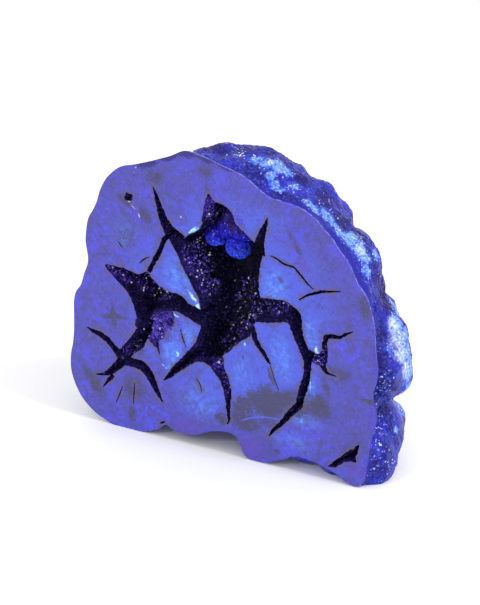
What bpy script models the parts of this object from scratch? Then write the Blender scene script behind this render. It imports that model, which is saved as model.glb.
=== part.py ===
"""A sawn half of an azurite nodule, standing on its rim.

Three pieces: the massive nodule, with its flat sawn face, cracks and two hollows, and one crust of small
crystals in each hollow. The sawn face is a vertical plane that looks along -Y, +X runs to its right and
+Z is up. The origin is on the ground, under the middle of the piece.

The tables are in millimetres: x and height on the sawn face, and depth behind it. The model is in metres.
"""

import bisect
import math
import random

import bmesh
import bpy
from mathutils import Matrix, Vector, noise

MM = 0.001

# Driving dimensions, in millimetres.
FACE_SETBACK = 14.4  # the sawn face stands this far in front of the origin
SIDE_SHIFT = 2.2  # the tables' x = 0 line stands this far to the right of the origin
NODULE_DEPTH = 27.5  # from the sawn face to the middle of the back, before its lobes
DOME_SQUARENESS = 2.3  # 2 would be an ellipse; more makes the back fuller
OUTLINE_STEPS = 116
RIND_RINGS = 20

CRUST_GAP = 0.4  # between a hollow's wall and the crystal crust that lines it
CRUST_THICKNESS = 0.9
CRUST_SETBACK = 1.1  # the crust's rim stands this far behind the sawn face
ARM_ROOM = 0.8  # the crust's inside stays this much farther from the walls of a narrow arm
CRYSTAL_HEIGHT = (0.35, 0.9)  # how far a crystal's point stands out of its crust
MOUTH_OVERRUN = 1.0  # a cutter starts this far in front of the sawn face

GROWTH_CENTRE = (-1.5, 29.0)  # the nodule grew outwards from this point of the face

# The sawn outline, clockwise from the left edge.
FACE_OUTLINE = (
    (-30.0, 36.2), (-29.4, 39.8), (-28.2, 42.0), (-27.4, 43.7), (-26.8, 45.6), (-26.0, 47.3),
    (-24.9, 48.9), (-22.5, 51.0), (-19.5, 52.0), (-16.0, 53.3), (-12.2, 54.9), (-9.4, 56.3),
    (-6.5, 56.0), (-4.4, 55.6), (-2.4, 55.0), (0.1, 54.4), (2.3, 53.7), (4.0, 52.7),
    (5.7, 51.6), (7.4, 50.8), (8.7, 50.7), (10.3, 50.5), (12.0, 50.3), (13.6, 49.9),
    (16.0, 48.6), (17.4, 47.2), (18.9, 45.9), (20.8, 43.6), (22.2, 42.1), (23.2, 40.3),
    (24.0, 38.6), (25.0, 37.4), (26.0, 36.0), (26.8, 33.6), (27.4, 31.0), (27.6, 28.5),
    (27.8, 26.0), (28.2, 23.5), (28.0, 21.0), (27.4, 18.8), (27.6, 16.6), (28.2, 14.5),
    (28.0, 12.6), (27.4, 10.3), (27.1, 8.2), (26.9, 6.8), (26.6, 4.6), (26.4, 2.7),
    (25.8, 1.0), (24.4, 0.2), (22.5, 0.6), (20.3, 1.8), (18.2, 2.4), (16.0, 2.9),
    (14.0, 3.1), (12.0, 2.9), (10.6, 2.0), (8.6, 1.1), (7.2, 0.4), (5.0, 0.1),
    (3.4, 0.2), (2.2, 1.0), (1.5, 2.5), (0.6, 4.0), (-1.1, 4.4), (-3.2, 4.1),
    (-4.8, 3.6), (-6.4, 2.8), (-7.8, 2.2), (-9.4, 1.9), (-10.9, 1.8), (-12.4, 2.2),
    (-13.9, 2.7), (-15.0, 1.8), (-16.2, 1.1), (-18.0, 0.4), (-20.0, -0.1), (-22.2, -0.3),
    (-24.0, -0.2), (-25.4, 0.1), (-26.9, 0.7), (-28.5, 1.3), (-30.1, 2.4), (-31.9, 4.2),
    (-33.3, 6.8), (-34.0, 9.5), (-33.9, 12.5), (-33.4, 14.8), (-33.1, 17.5), (-33.0, 20.0),
    (-32.9, 23.2), (-32.4, 25.2), (-31.3, 26.8), (-30.5, 29.2), (-29.8, 31.0), (-29.6, 32.4),
    (-29.9, 34.5),
)

# Mouths of the two hollows on the sawn face.
MAIN_MOUTH = (
    (-5.9, 43.9), (-4.9, 47.6), (-2.4, 48.0), (-0.2, 46.8), (0.6, 44.9), (2.4, 43.5),
    (4.4, 42.0), (6.0, 41.0), (5.4, 37.6), (5.2, 34.0), (5.6, 32.0), (6.0, 30.0),
    (5.0, 27.8), (4.0, 26.3), (3.4, 24.3), (1.0, 22.3), (-0.6, 20.5), (-2.1, 19.1),
    (-3.4, 16.6), (-5.6, 17.0), (-6.9, 17.4), (-7.6, 19.5), (-7.2, 21.5), (-6.5, 23.4),
    (-6.2, 25.0), (-6.3, 26.6), (-6.7, 28.9), (-7.4, 30.3), (-8.7, 32.5), (-9.9, 34.4),
    (-10.9, 36.6), (-12.0, 38.5), (-11.6, 40.4), (-9.7, 40.2), (-8.6, 41.0), (-6.6, 42.4),
)
SIDE_MOUTH = (
    (-26.0, 31.7), (-23.0, 31.9), (-20.8, 31.7), (-19.2, 31.4), (-17.2, 32.2), (-16.3, 31.2),
    (-14.9, 30.1), (-12.9, 29.3), (-10.8, 29.2), (-9.2, 28.0), (-9.8, 25.6), (-11.3, 25.8),
    (-13.0, 25.4), (-14.4, 25.0), (-15.8, 24.2), (-17.0, 23.0), (-18.0, 21.8), (-19.2, 21.6),
    (-19.7, 23.3), (-20.1, 24.6), (-20.6, 25.9), (-21.2, 27.0), (-22.2, 28.1), (-24.2, 29.7),
)

# Each crack: its points on the sawn face as (x, height, width across), and how deep it runs.
CRACKS = {
    "top_notch": (((-3.6, 44.5, 5.0), (-4.2, 47.0, 3.0), (-4.7, 49.3, 0.3)), 4.5),
    "upper_left": (
        ((-10.5, 39.2, 3.4), (-12.6, 41.0, 2.2), (-13.8, 42.9, 1.7), (-14.6, 45.2, 1.1),
         (-15.1, 46.9, 0.8), (-15.8, 48.6, 0.15)), 6.0),
    "upper_right": (
        ((5.2, 40.0, 2.4), (5.3, 42.2, 1.8), (5.9, 44.4, 1.2), (6.5, 46.0, 0.6),
         (6.8, 47.1, 0.15)), 6.0),
    "left_seam": (
        ((-12.7, 40.2, 1.1), (-13.7, 39.0, 0.9), (-14.5, 36.9, 0.9), (-15.4, 35.2, 0.9),
         (-16.3, 33.6, 0.8), (-16.9, 32.2, 0.8)), 4.5),
    "island_channel": (((-5.2, 25.2, 3.2), (-8.0, 26.2, 2.7), (-11.5, 27.3, 2.6)), 7.0),
    "lower_left": (
        ((-5.8, 19.4, 4.2), (-8.2, 17.8, 2.4), (-9.8, 16.2, 1.9), (-11.3, 14.8, 1.5),
         (-12.8, 13.0, 1.0), (-14.2, 11.6, 0.15)), 5.5),
    "bottom": (
        ((-3.6, 18.4, 3.6), (-2.8, 16.4, 2.4), (-1.6, 14.6, 1.8), (-1.0, 12.7, 1.6),
         (-0.9, 10.6, 1.0), (-0.9, 8.6, 0.7), (-0.7, 6.9, 0.45), (-1.1, 6.0, 0.15)), 6.0),
    "right_arm": (
        ((4.4, 29.6, 4.6), (7.4, 30.0, 4.5), (10.0, 30.5, 4.0), (11.9, 30.0, 3.4),
         (12.5, 28.2, 2.4), (13.1, 26.0, 1.8), (14.0, 24.3, 1.8), (14.8, 22.4, 1.7),
         (14.8, 20.4, 1.3), (14.6, 18.6, 1.4), (14.1, 16.8, 1.6), (13.6, 15.0, 1.4),
         (13.3, 13.3, 1.4), (12.1, 11.9, 1.3), (11.0, 10.6, 1.1), (10.1, 9.2, 0.9),
         (9.1, 8.1, 0.8), (8.1, 7.0, 0.6), (7.3, 5.7, 0.15)), 6.5),
    "right_pocket": (
        ((14.8, 23.6, 1.6), (16.6, 22.9, 2.0), (17.6, 23.0, 2.2), (18.1, 24.6, 1.1),
         (18.0, 26.2, 0.9), (18.4, 27.6, 0.9), (19.6, 27.9, 0.8), (20.9, 27.9, 0.5),
         (22.0, 28.8, 0.5), (23.4, 29.6, 0.15)), 4.5),
    "pocket_tail": (((17.3, 23.4, 2.2), (17.7, 22.0, 1.2), (18.6, 20.7, 0.5), (20.4, 20.5, 0.12)), 3.0),
    "inner_right": (
        ((3.8, 26.4, 1.3), (4.4, 24.2, 1.0), (5.3, 22.7, 0.9), (6.3, 21.6, 0.8),
         (7.0, 20.5, 0.7), (7.6, 19.8, 0.15)), 4.0),
    "right_sliver": (((13.0, 33.3, 0.15), (14.8, 34.6, 0.4), (17.2, 35.7, 0.5), (20.9, 36.5, 0.15)), 2.5),
    "hollow_throat": (
        ((-18.2, 22.4, 2.9), (-18.3, 20.2, 2.6), (-19.6, 18.0, 2.9), (-21.4, 16.1, 2.4),
         (-22.9, 14.3, 2.4)), 6.0),
    "junction_upper_left": (
        ((-22.9, 14.2, 2.0), (-24.4, 15.6, 1.2), (-25.8, 17.0, 1.2), (-27.5, 17.8, 1.1),
         (-29.0, 18.1, 0.8), (-30.3, 18.6, 0.15)), 4.0),
    "junction_lower_left": (
        ((-22.6, 13.9, 2.2), (-23.8, 12.4, 1.6), (-25.2, 10.9, 1.3), (-26.8, 9.9, 0.6),
         (-28.6, 9.5, 0.15)), 3.5),
    "junction_spur": (((-24.9, 10.2, 0.9), (-25.9, 8.9, 0.6), (-27.1, 7.3, 0.15)), 2.0),
    "junction_lower_right": (
        ((-22.6, 13.9, 2.2), (-20.4, 13.7, 1.8), (-18.4, 13.4, 2.0), (-17.1, 12.0, 1.8),
         (-16.1, 10.2, 1.4), (-15.4, 8.7, 0.9), (-14.4, 7.1, 0.15)), 5.0),
    "corner_pocket": (
        ((19.1, 2.7, 0.15), (20.6, 3.6, 1.2), (21.9, 4.9, 1.0), (23.2, 5.7, 2.0),
         (24.0, 6.7, 1.4), (25.0, 8.4, 0.15)), 3.5),
    "corner_spur": (((23.4, 5.9, 1.8), (24.0, 5.3, 1.3), (24.5, 4.9, 0.2)), 2.5),
}

# Rounded lobes of the rind, as (x, depth, height, radius) of a ball each.
LOBES = (
    # the crest, as it shows above the sawn face
    (-7.7, 10.0, 45.1, 9.0), (0.3, 10.5, 45.5, 8.8), (5.0, 9.8, 39.5, 12.0),
    # down the right side
    (15.3, 8.2, 35.1, 8.7), (20.4, 9.0, 26.2, 7.3), (21.1, 9.0, 20.3, 8.3), (19.3, 14.0, 15.5, 5.7),
    (20.2, 8.5, 6.0, 8.8), (22.2, 4.6, 4.5, 7.2), (12.3, 3.2, 4.4, 3.2),
    # the feet that it stands on
    (-21.5, 7.5, 8.8, 9.2), (-1.0, 16.5, 8.4, 8.9), (8.5, 8.0, 9.2, 8.9), (-12.0, 13.5, 8.3, 8.7),
    # the left side
    (-25.0, 8.5, 19.0, 7.6), (-23.5, 8.0, 31.0, 6.9), (-19.6, 8.0, 40.4, 8.0), (-21.5, 14.0, 24.5, 6.8),
    # the back
    (-13.0, 17.5, 19.5, 8.4), (-13.5, 17.0, 33.0, 8.6), (-8.0, 17.2, 41.0, 7.4), (0.5, 20.5, 36.5, 7.0),
    (1.0, 20.67, 24.0, 8.2), (11.6, 17.0, 30.3, 7.5), (11.6, 17.0, 17.6, 8.2), (7.2, 15.8, 39.6, 6.2),
    (-5.5, 21.0, 28.5, 7.2), (-4.5, 19.0, 15.0, 7.2), (17.2, 15.2, 23.8, 5.5), (11.5, 14.5, 9.5, 7.4),
)
KNOB_COUNT = 120  # small knobs, spread evenly over the lobes
KNOB_RADIUS = (2.2, 4.0)
KNOB_SINK = 0.82  # a knob's middle lies this share of its radius below the rind

# Rounded blue lumps that hang in the top of the main hollow, as (x, depth, height, radius).
LUMPS = (
    (-5.7, 4.6, 39.9, 2.0), (-3.5, 5.4, 41.6, 2.2), (-1.0, 5.2, 43.0, 3.3), (-1.2, 4.6, 38.8, 2.3),
)

# Shallow broken hollows beside the side hollow, as balls that are cut out: (x, depth, height, radius).
BROKEN_SLOPE = ((-16.5, -2.6, 21.9, 4.3), (-13.6, -2.4, 23.6, 3.1))


def curve_through(points, steps):
    """Points evenly spaced along a closed smooth curve through the given ones."""
    count = len(points)
    fine = []
    for i in range(count):
        a, b, c, d = (points[(i + k - 1) % count] for k in range(4))
        for j in range(10):
            fine.append(between(a, b, c, d, j / 10))
    fine.append(fine[0])
    lengths = [0.0]
    for a, b in zip(fine, fine[1:]):
        lengths.append(lengths[-1] + math.dist(a, b))
    result = []
    for n in range(steps):
        target = lengths[-1] * n / steps
        k = bisect.bisect_right(lengths, target) - 1
        share = (target - lengths[k]) / (lengths[k + 1] - lengths[k])
        result.append(tuple(p + (q - p) * share for p, q in zip(fine[k], fine[k + 1])))
    return result


def between(a, b, c, d, t):
    """The point at share t from b to c, on a smooth curve that also passes a and d."""
    point = []
    for p, q, r, s in zip(a, b, c, d):
        bend = (2 * p - 5 * q + 4 * r - s) * t + (3 * q - p - 3 * r + s) * t * t
        point.append(q + 0.5 * t * (r - p + bend))
    return tuple(point)


def smooth(value, low, high):
    """0 below low, 1 above high, and a smooth rise between."""
    t = min(max((value - low) / (high - low), 0.0), 1.0)
    return t * t * (3 - 2 * t)


def place(x, depth, height):
    """A point of the part, from its x, depth and height in the tables' millimetres."""
    return Vector(((x + SIDE_SHIFT) * MM, (depth - FACE_SETBACK) * MM, height * MM))


def new_object(name, bm, hidden=False):
    """An object of this mesh, which it uses up. A hidden one is a cutter."""
    bmesh.ops.recalc_face_normals(bm, faces=bm.faces)
    mesh = bpy.data.meshes.new(name)
    bm.to_mesh(mesh)
    bm.free()
    obj = bpy.data.objects.new(name, mesh)
    bpy.context.scene.collection.objects.link(obj)
    if hidden:
        obj.hide_render = True
        obj.display_type = "WIRE"
    return obj


def stitch(bm, loop, next_loop):
    """Triangles between two closed loops of vertices, which may differ in number."""
    i, j = 0, 0
    count, next_count = len(loop), len(next_loop)
    while i < count or j < next_count:
        here = loop[i % count]
        there = next_loop[j % next_count]
        if j >= next_count or (i < count and (i + 1) / count <= (j + 1) / next_count):
            bm.faces.new((here, loop[(i + 1) % count], there))
            i += 1
        else:
            bm.faces.new((here, next_loop[(j + 1) % next_count], there))
            j += 1


def closed_stack(rings):
    """A closed body from rings of points, with a flat cap on each end."""
    bm = bmesh.new()
    loops = [[bm.verts.new(p) for p in ring] for ring in rings]
    for loop, next_loop in zip(loops, loops[1:]):
        stitch(bm, loop, next_loop)
    bm.faces.new(loops[0])
    bm.faces.new(loops[-1])
    return bm


def draw_in(step, wall, inset):
    """The step, shortened until its end is clear of every side of the wall by inset."""
    if inset == 0:
        return step
    for n in range(60):
        end = step * (1 - n / 60)
        if all(side_distance(end, a, b) >= inset for a, b in zip(wall, wall[1:] + wall[:1])):
            return end
    return step / 60


def side_distance(point, a, b):
    """How far the point is from the side between a and b."""
    side = b - a
    share = min(max((point - a).dot(side) / side.length_squared, 0.0), 1.0)
    return (point - a - side * share).length


def ball_exit(direction, ball):
    """How far from the growth centre a ray leaves this ball (centre, radius), or 0 if it misses it."""
    centre, radius = ball
    along = direction.dot(centre)
    inside = along * along - centre.length_squared + radius * radius
    return along + math.sqrt(inside) if inside > 0 else 0.0


class Rind:
    """The outer surface of the nodule: a dome behind the sawn outline, with lobes and knobs on it."""

    def __init__(self):
        self.outline = curve_through(FACE_OUTLINE, OUTLINE_STEPS)
        polar = sorted(self.to_polar(x, z) for x, z in curve_through(FACE_OUTLINE, 4 * OUTLINE_STEPS))
        self.angles = [angle for angle, _ in polar]
        self.radii = [radius for _, radius in polar]
        cx, cz = GROWTH_CENTRE
        self.lobes = [(Vector((x - cx, depth, z - cz)), radius) for x, depth, z, radius in LOBES]
        self.knobs = []
        self.knobs = self.scatter_knobs()

    def to_polar(self, x, z):
        dx, dz = x - GROWTH_CENTRE[0], z - GROWTH_CENTRE[1]
        return math.atan2(dz, dx) % math.tau, math.hypot(dx, dz)

    def edge_radius(self, angle):
        """How far the sawn outline is from the growth centre in this direction."""
        k = bisect.bisect_right(self.angles, angle % math.tau)
        k %= len(self.angles)
        before = (self.angles[k] - self.angles[k - 1]) % math.tau
        share = ((angle - self.angles[k - 1]) % math.tau) / before
        return self.radii[k - 1] + (self.radii[k] - self.radii[k - 1]) * share

    def scatter_knobs(self):
        pick = random.Random(5)
        knobs = []
        for n in range(KNOB_COUNT):
            rise = math.asin(0.1 + 0.9 * (n + 0.5) / KNOB_COUNT)
            direction = self.direction(n * 2.39996 + pick.uniform(-0.1, 0.1), rise)
            radius = pick.uniform(*KNOB_RADIUS)
            knobs.append((direction * (self.reach(direction) - KNOB_SINK * radius), radius))
        return knobs

    def direction(self, angle, rise):
        return Vector((math.cos(rise) * math.cos(angle), math.sin(rise), math.cos(rise) * math.sin(angle)))

    def reach(self, direction):
        """How far the rind is from the growth centre in this direction."""
        across = math.hypot(direction.x, direction.z)
        edge = self.edge_radius(math.atan2(direction.z, direction.x))
        power = DOME_SQUARENESS
        dome = ((across / edge) ** power + (max(direction.y, 0.0) / NODULE_DEPTH) ** power) ** (-1 / power)
        lumpy = max([dome * 0.94] + [ball_exit(direction, ball) for ball in self.lobes + self.knobs])
        return dome + (lumpy - dome) * smooth(dome * direction.y, 0.1, 3.2)

    def ring(self, share):
        """The points of the rind at this share of the turn from the sawn face to the back."""
        rise = share * math.pi / 2
        count = OUTLINE_STEPS
        if share > 0.3:
            count = max(8, round(OUTLINE_STEPS * math.cos(rise) ** 0.8 / 4) * 4)
        points = []
        for n in range(count):
            x, z = self.outline[n * OUTLINE_STEPS // count]
            angle = self.to_polar(x, z)[0]
            direction = self.direction(angle, rise)
            spot = direction * self.reach(direction)
            points.append(place(GROWTH_CENTRE[0] + spot.x, spot.y, GROWTH_CENTRE[1] + spot.z))
        return points

    def build(self):
        rings = [self.ring(k / RIND_RINGS) for k in range(RIND_RINGS)]
        return new_object("nodule", closed_stack(rings))


class Hollow:
    """A hollow behind the sawn face, and the crust of crystals that lines it."""

    def __init__(self, name, mouth, steps, centre, drift, depth, squareness, shares):
        self.name = name
        self.mouth = curve_through(mouth, steps)
        self.centre = centre  # its middle at the mouth
        self.drift = drift  # how far the middle has moved aside and up at the deepest point
        self.depth = depth
        self.squareness = squareness
        self.shares = shares  # the shares of the depth that its rings stand at

    def wall(self, share):
        """The hollow's wall at this share of its depth, as steps from its middle: (x, height) of each."""
        closing = (1 - share**self.squareness) ** (1 / self.squareness)
        steps = []
        for x, z in self.mouth:
            step = Vector((x - self.centre[0], z - self.centre[1]))
            aim = step.normalized() * 2.1
            grain = noise.noise(Vector((aim.x, aim.y, share * 3 + self.depth)))
            steps.append(step * closing * (1 + 0.16 * grain * smooth(share, 0.05, 0.4)))
        return steps

    def ring(self, share, inset=0.0, forward=0.0):
        """The wall at this share of its depth, drawn in until it is clear by inset, and moved forward."""
        wall = self.wall(share)
        cx = self.centre[0] + self.drift[0] * share
        cz = self.centre[1] + self.drift[1] * share
        steps = [draw_in(step, wall, inset) for step in wall]
        return [place(cx + step.x, share * self.depth - forward, cz + step.y) for step in steps]

    def inner_ring(self, share):
        """The inside of the crust, kept back from the narrow arms, where crystals would have no room."""
        thin = self.ring(share, CRUST_GAP + CRUST_THICKNESS, CRUST_GAP + CRUST_THICKNESS * share)
        thick = self.ring(share, CRUST_GAP + CRUST_THICKNESS + ARM_ROOM, CRUST_GAP + CRUST_THICKNESS * share)
        middle = sum(thin, Vector()) / len(thin)
        points = []
        for near, far in zip(thin, thick):
            limit = (far - middle).length + ARM_ROOM * MM
            step = near - middle
            points.append(middle + step * min(1.0, limit / step.length))
        return points

    def build_cutter(self):
        """The solid that is cut out of the nodule."""
        mouth = [p - Vector((0, MOUTH_OVERRUN * MM, 0)) for p in self.ring(0.0)]
        rings = [mouth] + [self.ring(share) for share in self.shares]
        return new_object(self.name + "_cutter", closed_stack(rings), hidden=True)

    def build_crust(self, seed):
        """The crust: a thin bowl just inside the wall, with a pointed crystal on each patch of its inside."""
        first = next(share for share in self.shares if share * self.depth > CRUST_SETBACK)
        shares = [share for share in self.shares if share >= first]
        bm = bmesh.new()
        outer = [self.ring(s, CRUST_GAP, CRUST_GAP) for s in shares]
        inner = [self.inner_ring(s) for s in shares[:-1]]
        loops = [[bm.verts.new(p) for p in ring] for ring in reversed(inner)]
        inner_rings = len(loops)
        loops += [[bm.verts.new(p) for p in ring] for ring in outer]
        patches = [bm.faces.new(loops[0])]
        for k, (loop, next_loop) in enumerate(zip(loops, loops[1:])):
            for i in range(len(loop)):
                j = (i + 1) % len(loop)
                face = bm.faces.new((loop[i], loop[j], next_loop[j], next_loop[i]))
                if k < inner_rings - 1:
                    patches.append(face)
        bm.faces.new(loops[-1])
        bmesh.ops.recalc_face_normals(bm, faces=bm.faces)
        self.grow_crystals(bm, patches, seed)
        return new_object(self.name + "_druse", bm)

    def grow_crystals(self, bm, patches, seed):
        pick = random.Random(seed)
        for patch in patches:
            normal = patch.normal.copy()
            grown = bmesh.ops.poke(bm, faces=[patch])
            low, high = CRYSTAL_HEIGHT
            grown["verts"][0].co += normal * pick.uniform(low, high) * MM


def build_ground_cutter():
    """A box whose top is the ground: it leaves the flats that the nodule stands on."""
    bm = bmesh.new()
    bmesh.ops.create_cube(bm, size=1.0, matrix=Matrix.Diagonal((0.12, 0.12, 0.02, 1.0)))
    bmesh.ops.translate(bm, verts=bm.verts, vec=(0, 0, -0.01))
    return new_object("ground_cutter", bm, hidden=True)


def build_crack_cutter(name, points, depth):
    """The wedge that a crack cuts: as wide as stated on the sawn face, and closing at its depth."""
    widest = max(width for _, _, width in points)
    bm = bmesh.new()
    rows = []
    for i, (x, z, width) in enumerate(points):
        before = points[max(i - 1, 0)]
        after = points[min(i + 1, len(points) - 1)]
        side = Vector((before[1] - after[1], after[0] - before[0])).normalized()
        deep = depth * (width / widest) ** 0.45
        half = width / 2 * (deep + MOUTH_OVERRUN) / deep
        corners = (
            place(x + side.x * half, -MOUTH_OVERRUN, z + side.y * half),
            place(x - side.x * half, -MOUTH_OVERRUN, z - side.y * half),
            place(x, deep, z),
        )
        rows.append([bm.verts.new(corner) for corner in corners])
    for row, next_row in zip(rows, rows[1:]):
        stitch(bm, row, next_row)
    bm.faces.new(rows[0])
    bm.faces.new(rows[-1])
    return new_object("crack_" + name, bm, hidden=True)


def build_ball(name, x, depth, height, radius):
    bm = bmesh.new()
    middle = Matrix.Translation(place(x, depth, height))
    bmesh.ops.create_icosphere(bm, subdivisions=2, radius=radius * MM, matrix=middle)
    return new_object(name, bm, hidden=True)


def gather(name, objects):
    """A collection of these objects alone."""
    group = bpy.data.collections.new(name)
    bpy.context.scene.collection.children.link(group)
    for obj in objects:
        bpy.context.scene.collection.objects.unlink(obj)
        group.objects.link(obj)
    return group


def cut_with(obj, group):
    """Cuts every object of the group out of this one."""
    cut = obj.modifiers.new("cut_" + group.name, "BOOLEAN")
    cut.operation = "DIFFERENCE"
    cut.solver = "EXACT"
    cut.operand_type = "COLLECTION"
    cut.collection = group


def paint(obj, name, colour, roughness):
    material = bpy.data.materials.new(name)
    material.use_nodes = True
    shader = material.node_tree.nodes["Principled BSDF"]
    shader.inputs["Base Color"].default_value = (*colour, 1.0)
    shader.inputs["Roughness"].default_value = roughness
    obj.data.materials.append(material)


MAIN_HOLLOW = Hollow(
    name="main_hollow",
    mouth=MAIN_MOUTH,
    steps=44,
    centre=(-1.5, 32.0),
    drift=(-1.0, -0.5),
    depth=15.0,
    squareness=2.6,
    shares=(0.1, 0.24, 0.4, 0.56, 0.71, 0.84, 0.93, 0.98),
)
SIDE_HOLLOW = Hollow(
    name="side_hollow",
    mouth=SIDE_MOUTH,
    steps=32,
    centre=(-17.6, 26.5),
    drift=(-1.2, 0.3),
    depth=9.0,
    squareness=2.2,
    shares=(0.15, 0.35, 0.55, 0.74, 0.88, 0.96),
)


def main():
    for obj in list(bpy.data.objects):
        bpy.data.objects.remove(obj, do_unlink=True)
    nodule = Rind().build()
    lumps = gather("lumps", [build_ball(f"lump_{n}", *ball) for n, ball in enumerate(LUMPS)])
    main_cutter = MAIN_HOLLOW.build_cutter()
    cut_with(main_cutter, lumps)
    cutters = [build_ground_cutter(), main_cutter, SIDE_HOLLOW.build_cutter()]
    cutters += [build_ball(f"slope_{n}", *ball) for n, ball in enumerate(BROKEN_SLOPE)]
    cutters += [build_crack_cutter(name, points, depth) for name, (points, depth) in CRACKS.items()]
    cut_with(nodule, gather("hollow_cutters", cutters))
    main_druse = MAIN_HOLLOW.build_crust(seed=3)
    clearances = [
        build_ball(f"lump_room_{n}", x, depth, z, radius + CRUST_GAP)
        for n, (x, depth, z, radius) in enumerate(LUMPS)
    ]
    cut_with(main_druse, gather("lump_room", clearances))
    side_druse = SIDE_HOLLOW.build_crust(seed=4)
    paint(nodule, "massive_azurite", (0.115, 0.105, 0.62), 0.6)
    paint(main_druse, "dark_druse", (0.022, 0.014, 0.09), 0.35)
    paint(side_druse, "side_druse", (0.03, 0.02, 0.11), 0.35)


main()
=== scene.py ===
"""Dresses a sawn half of an azurite nodule for a close look.

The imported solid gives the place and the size. This script builds the same nodule finely: its lobed rind, the
sawn face with its cracks and hollows, the crusts of crystals that line them, and the light it stands in.

The sawn face is upright and looks along -Y; +X runs to its right and +Z is up. The tables are in millimetres:
x and height on the sawn face, and depth behind it. All else is in metres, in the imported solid's frame.
"""

import logging
import math
import random
from dataclasses import dataclass, field
from enum import Enum
from functools import reduce
from typing import Iterable, Sequence

import bmesh
import bpy
import numpy as np
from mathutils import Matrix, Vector, noise
from mathutils.kdtree import KDTree


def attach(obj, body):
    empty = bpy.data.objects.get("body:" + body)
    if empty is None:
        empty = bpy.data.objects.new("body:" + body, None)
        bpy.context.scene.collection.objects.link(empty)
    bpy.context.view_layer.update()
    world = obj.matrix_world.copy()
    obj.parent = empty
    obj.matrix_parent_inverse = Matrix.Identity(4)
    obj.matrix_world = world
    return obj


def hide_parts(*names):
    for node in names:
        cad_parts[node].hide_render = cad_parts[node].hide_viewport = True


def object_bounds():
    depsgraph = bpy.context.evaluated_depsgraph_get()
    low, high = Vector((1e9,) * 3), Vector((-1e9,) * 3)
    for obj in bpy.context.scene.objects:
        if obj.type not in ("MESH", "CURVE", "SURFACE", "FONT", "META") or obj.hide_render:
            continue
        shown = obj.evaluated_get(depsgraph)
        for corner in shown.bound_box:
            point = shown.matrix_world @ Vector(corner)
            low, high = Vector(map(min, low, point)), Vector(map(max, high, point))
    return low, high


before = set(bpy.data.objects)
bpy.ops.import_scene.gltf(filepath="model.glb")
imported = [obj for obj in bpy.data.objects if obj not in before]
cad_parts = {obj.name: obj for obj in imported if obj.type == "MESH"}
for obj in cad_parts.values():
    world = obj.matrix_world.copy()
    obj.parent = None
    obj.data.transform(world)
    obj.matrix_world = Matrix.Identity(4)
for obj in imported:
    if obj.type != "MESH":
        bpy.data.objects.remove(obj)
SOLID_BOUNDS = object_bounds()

log = logging.getLogger("azurite")

Colour = tuple[float, float, float]
Point2 = tuple[float, float]
Point3 = tuple[float, float, float]
Faces = list[tuple[int, ...]]
CrackLine = tuple[Point3, ...]
Ball = tuple[float, float, float, float]

MM = 0.001
FACE_SETBACK = 14.4  # the sawn face stands this far in front of the origin, in mm
SIDE_SHIFT = 2.2  # the tables' x = 0 line stands this far to the right of the origin, in mm
TABLE_SHIFT = np.array([SIDE_SHIFT, -FACE_SETBACK, 0.0])
GROWTH_CENTRE = (-1.5, 29.0)  # the nodule grew outwards from this point of the face
GROWTH_POINT = np.array([GROWTH_CENTRE[0], 0.0, GROWTH_CENTRE[1]])
FLATNESS = 0.002  # what lies this near the face's plane is on it, in mm
GOLDEN_ANGLE = 2.39996  # a step round that spreads points evenly, in radians
BALL_DIVISIONS = 5

# The sawn outline, clockwise from the left edge, as (x, height).
FACE_OUTLINE: tuple[Point2, ...] = (
    (-30, 36.2), (-29.4, 39.8), (-28.2, 42), (-27.4, 43.7), (-26.8, 45.6), (-26, 47.3), (-24.9, 48.9),
    (-22.5, 51), (-19.5, 52), (-16, 53.3), (-12.2, 54.9), (-9.4, 56.3), (-6.5, 56), (-4.4, 55.6),
    (-2.4, 55), (0.1, 54.4), (2.3, 53.7), (4, 52.7), (5.7, 51.6), (7.4, 50.8), (8.7, 50.7), (10.3, 50.5),
    (12, 50.3), (13.6, 49.9), (16, 48.6), (17.4, 47.2), (18.9, 45.9), (20.8, 43.6), (22.2, 42.1),
    (23.2, 40.3), (24, 38.6), (25, 37.4), (26, 36), (26.8, 33.6), (27.4, 31), (27.6, 28.5), (27.8, 26),
    (28.2, 23.5), (28, 21), (27.4, 18.8), (27.6, 16.6), (28.2, 14.5), (28, 12.6), (27.4, 10.3), (27.1, 8.2),
    (26.9, 6.8), (26.6, 4.6), (26.4, 2.7), (25.8, 1), (24.4, 0.2), (22.5, 0.6), (20.3, 1.8), (18.2, 2.4),
    (16, 2.9), (14, 3.1), (12, 2.9), (10.6, 2), (8.6, 1.1), (7.2, 0.4), (5, 0.1), (3.4, 0.2), (2.2, 1),
    (1.5, 2.5), (0.6, 4), (-1.1, 4.4), (-3.2, 4.1), (-4.8, 3.6), (-6.4, 2.8), (-7.8, 2.2), (-9.4, 1.9),
    (-10.9, 1.8), (-12.4, 2.2), (-13.9, 2.7), (-15, 1.8), (-16.2, 1.1), (-18, 0.4), (-20, -0.1),
    (-22.2, -0.3), (-24, -0.2), (-25.4, 0.1), (-26.9, 0.7), (-28.5, 1.3), (-30.1, 2.4), (-31.9, 4.2),
    (-33.3, 6.8), (-34, 9.5), (-33.9, 12.5), (-33.4, 14.8), (-33.1, 17.5), (-33, 20), (-32.9, 23.2),
    (-32.4, 25.2), (-31.3, 26.8), (-30.5, 29.2), (-29.8, 31), (-29.6, 32.4), (-29.9, 34.5),
)

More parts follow.
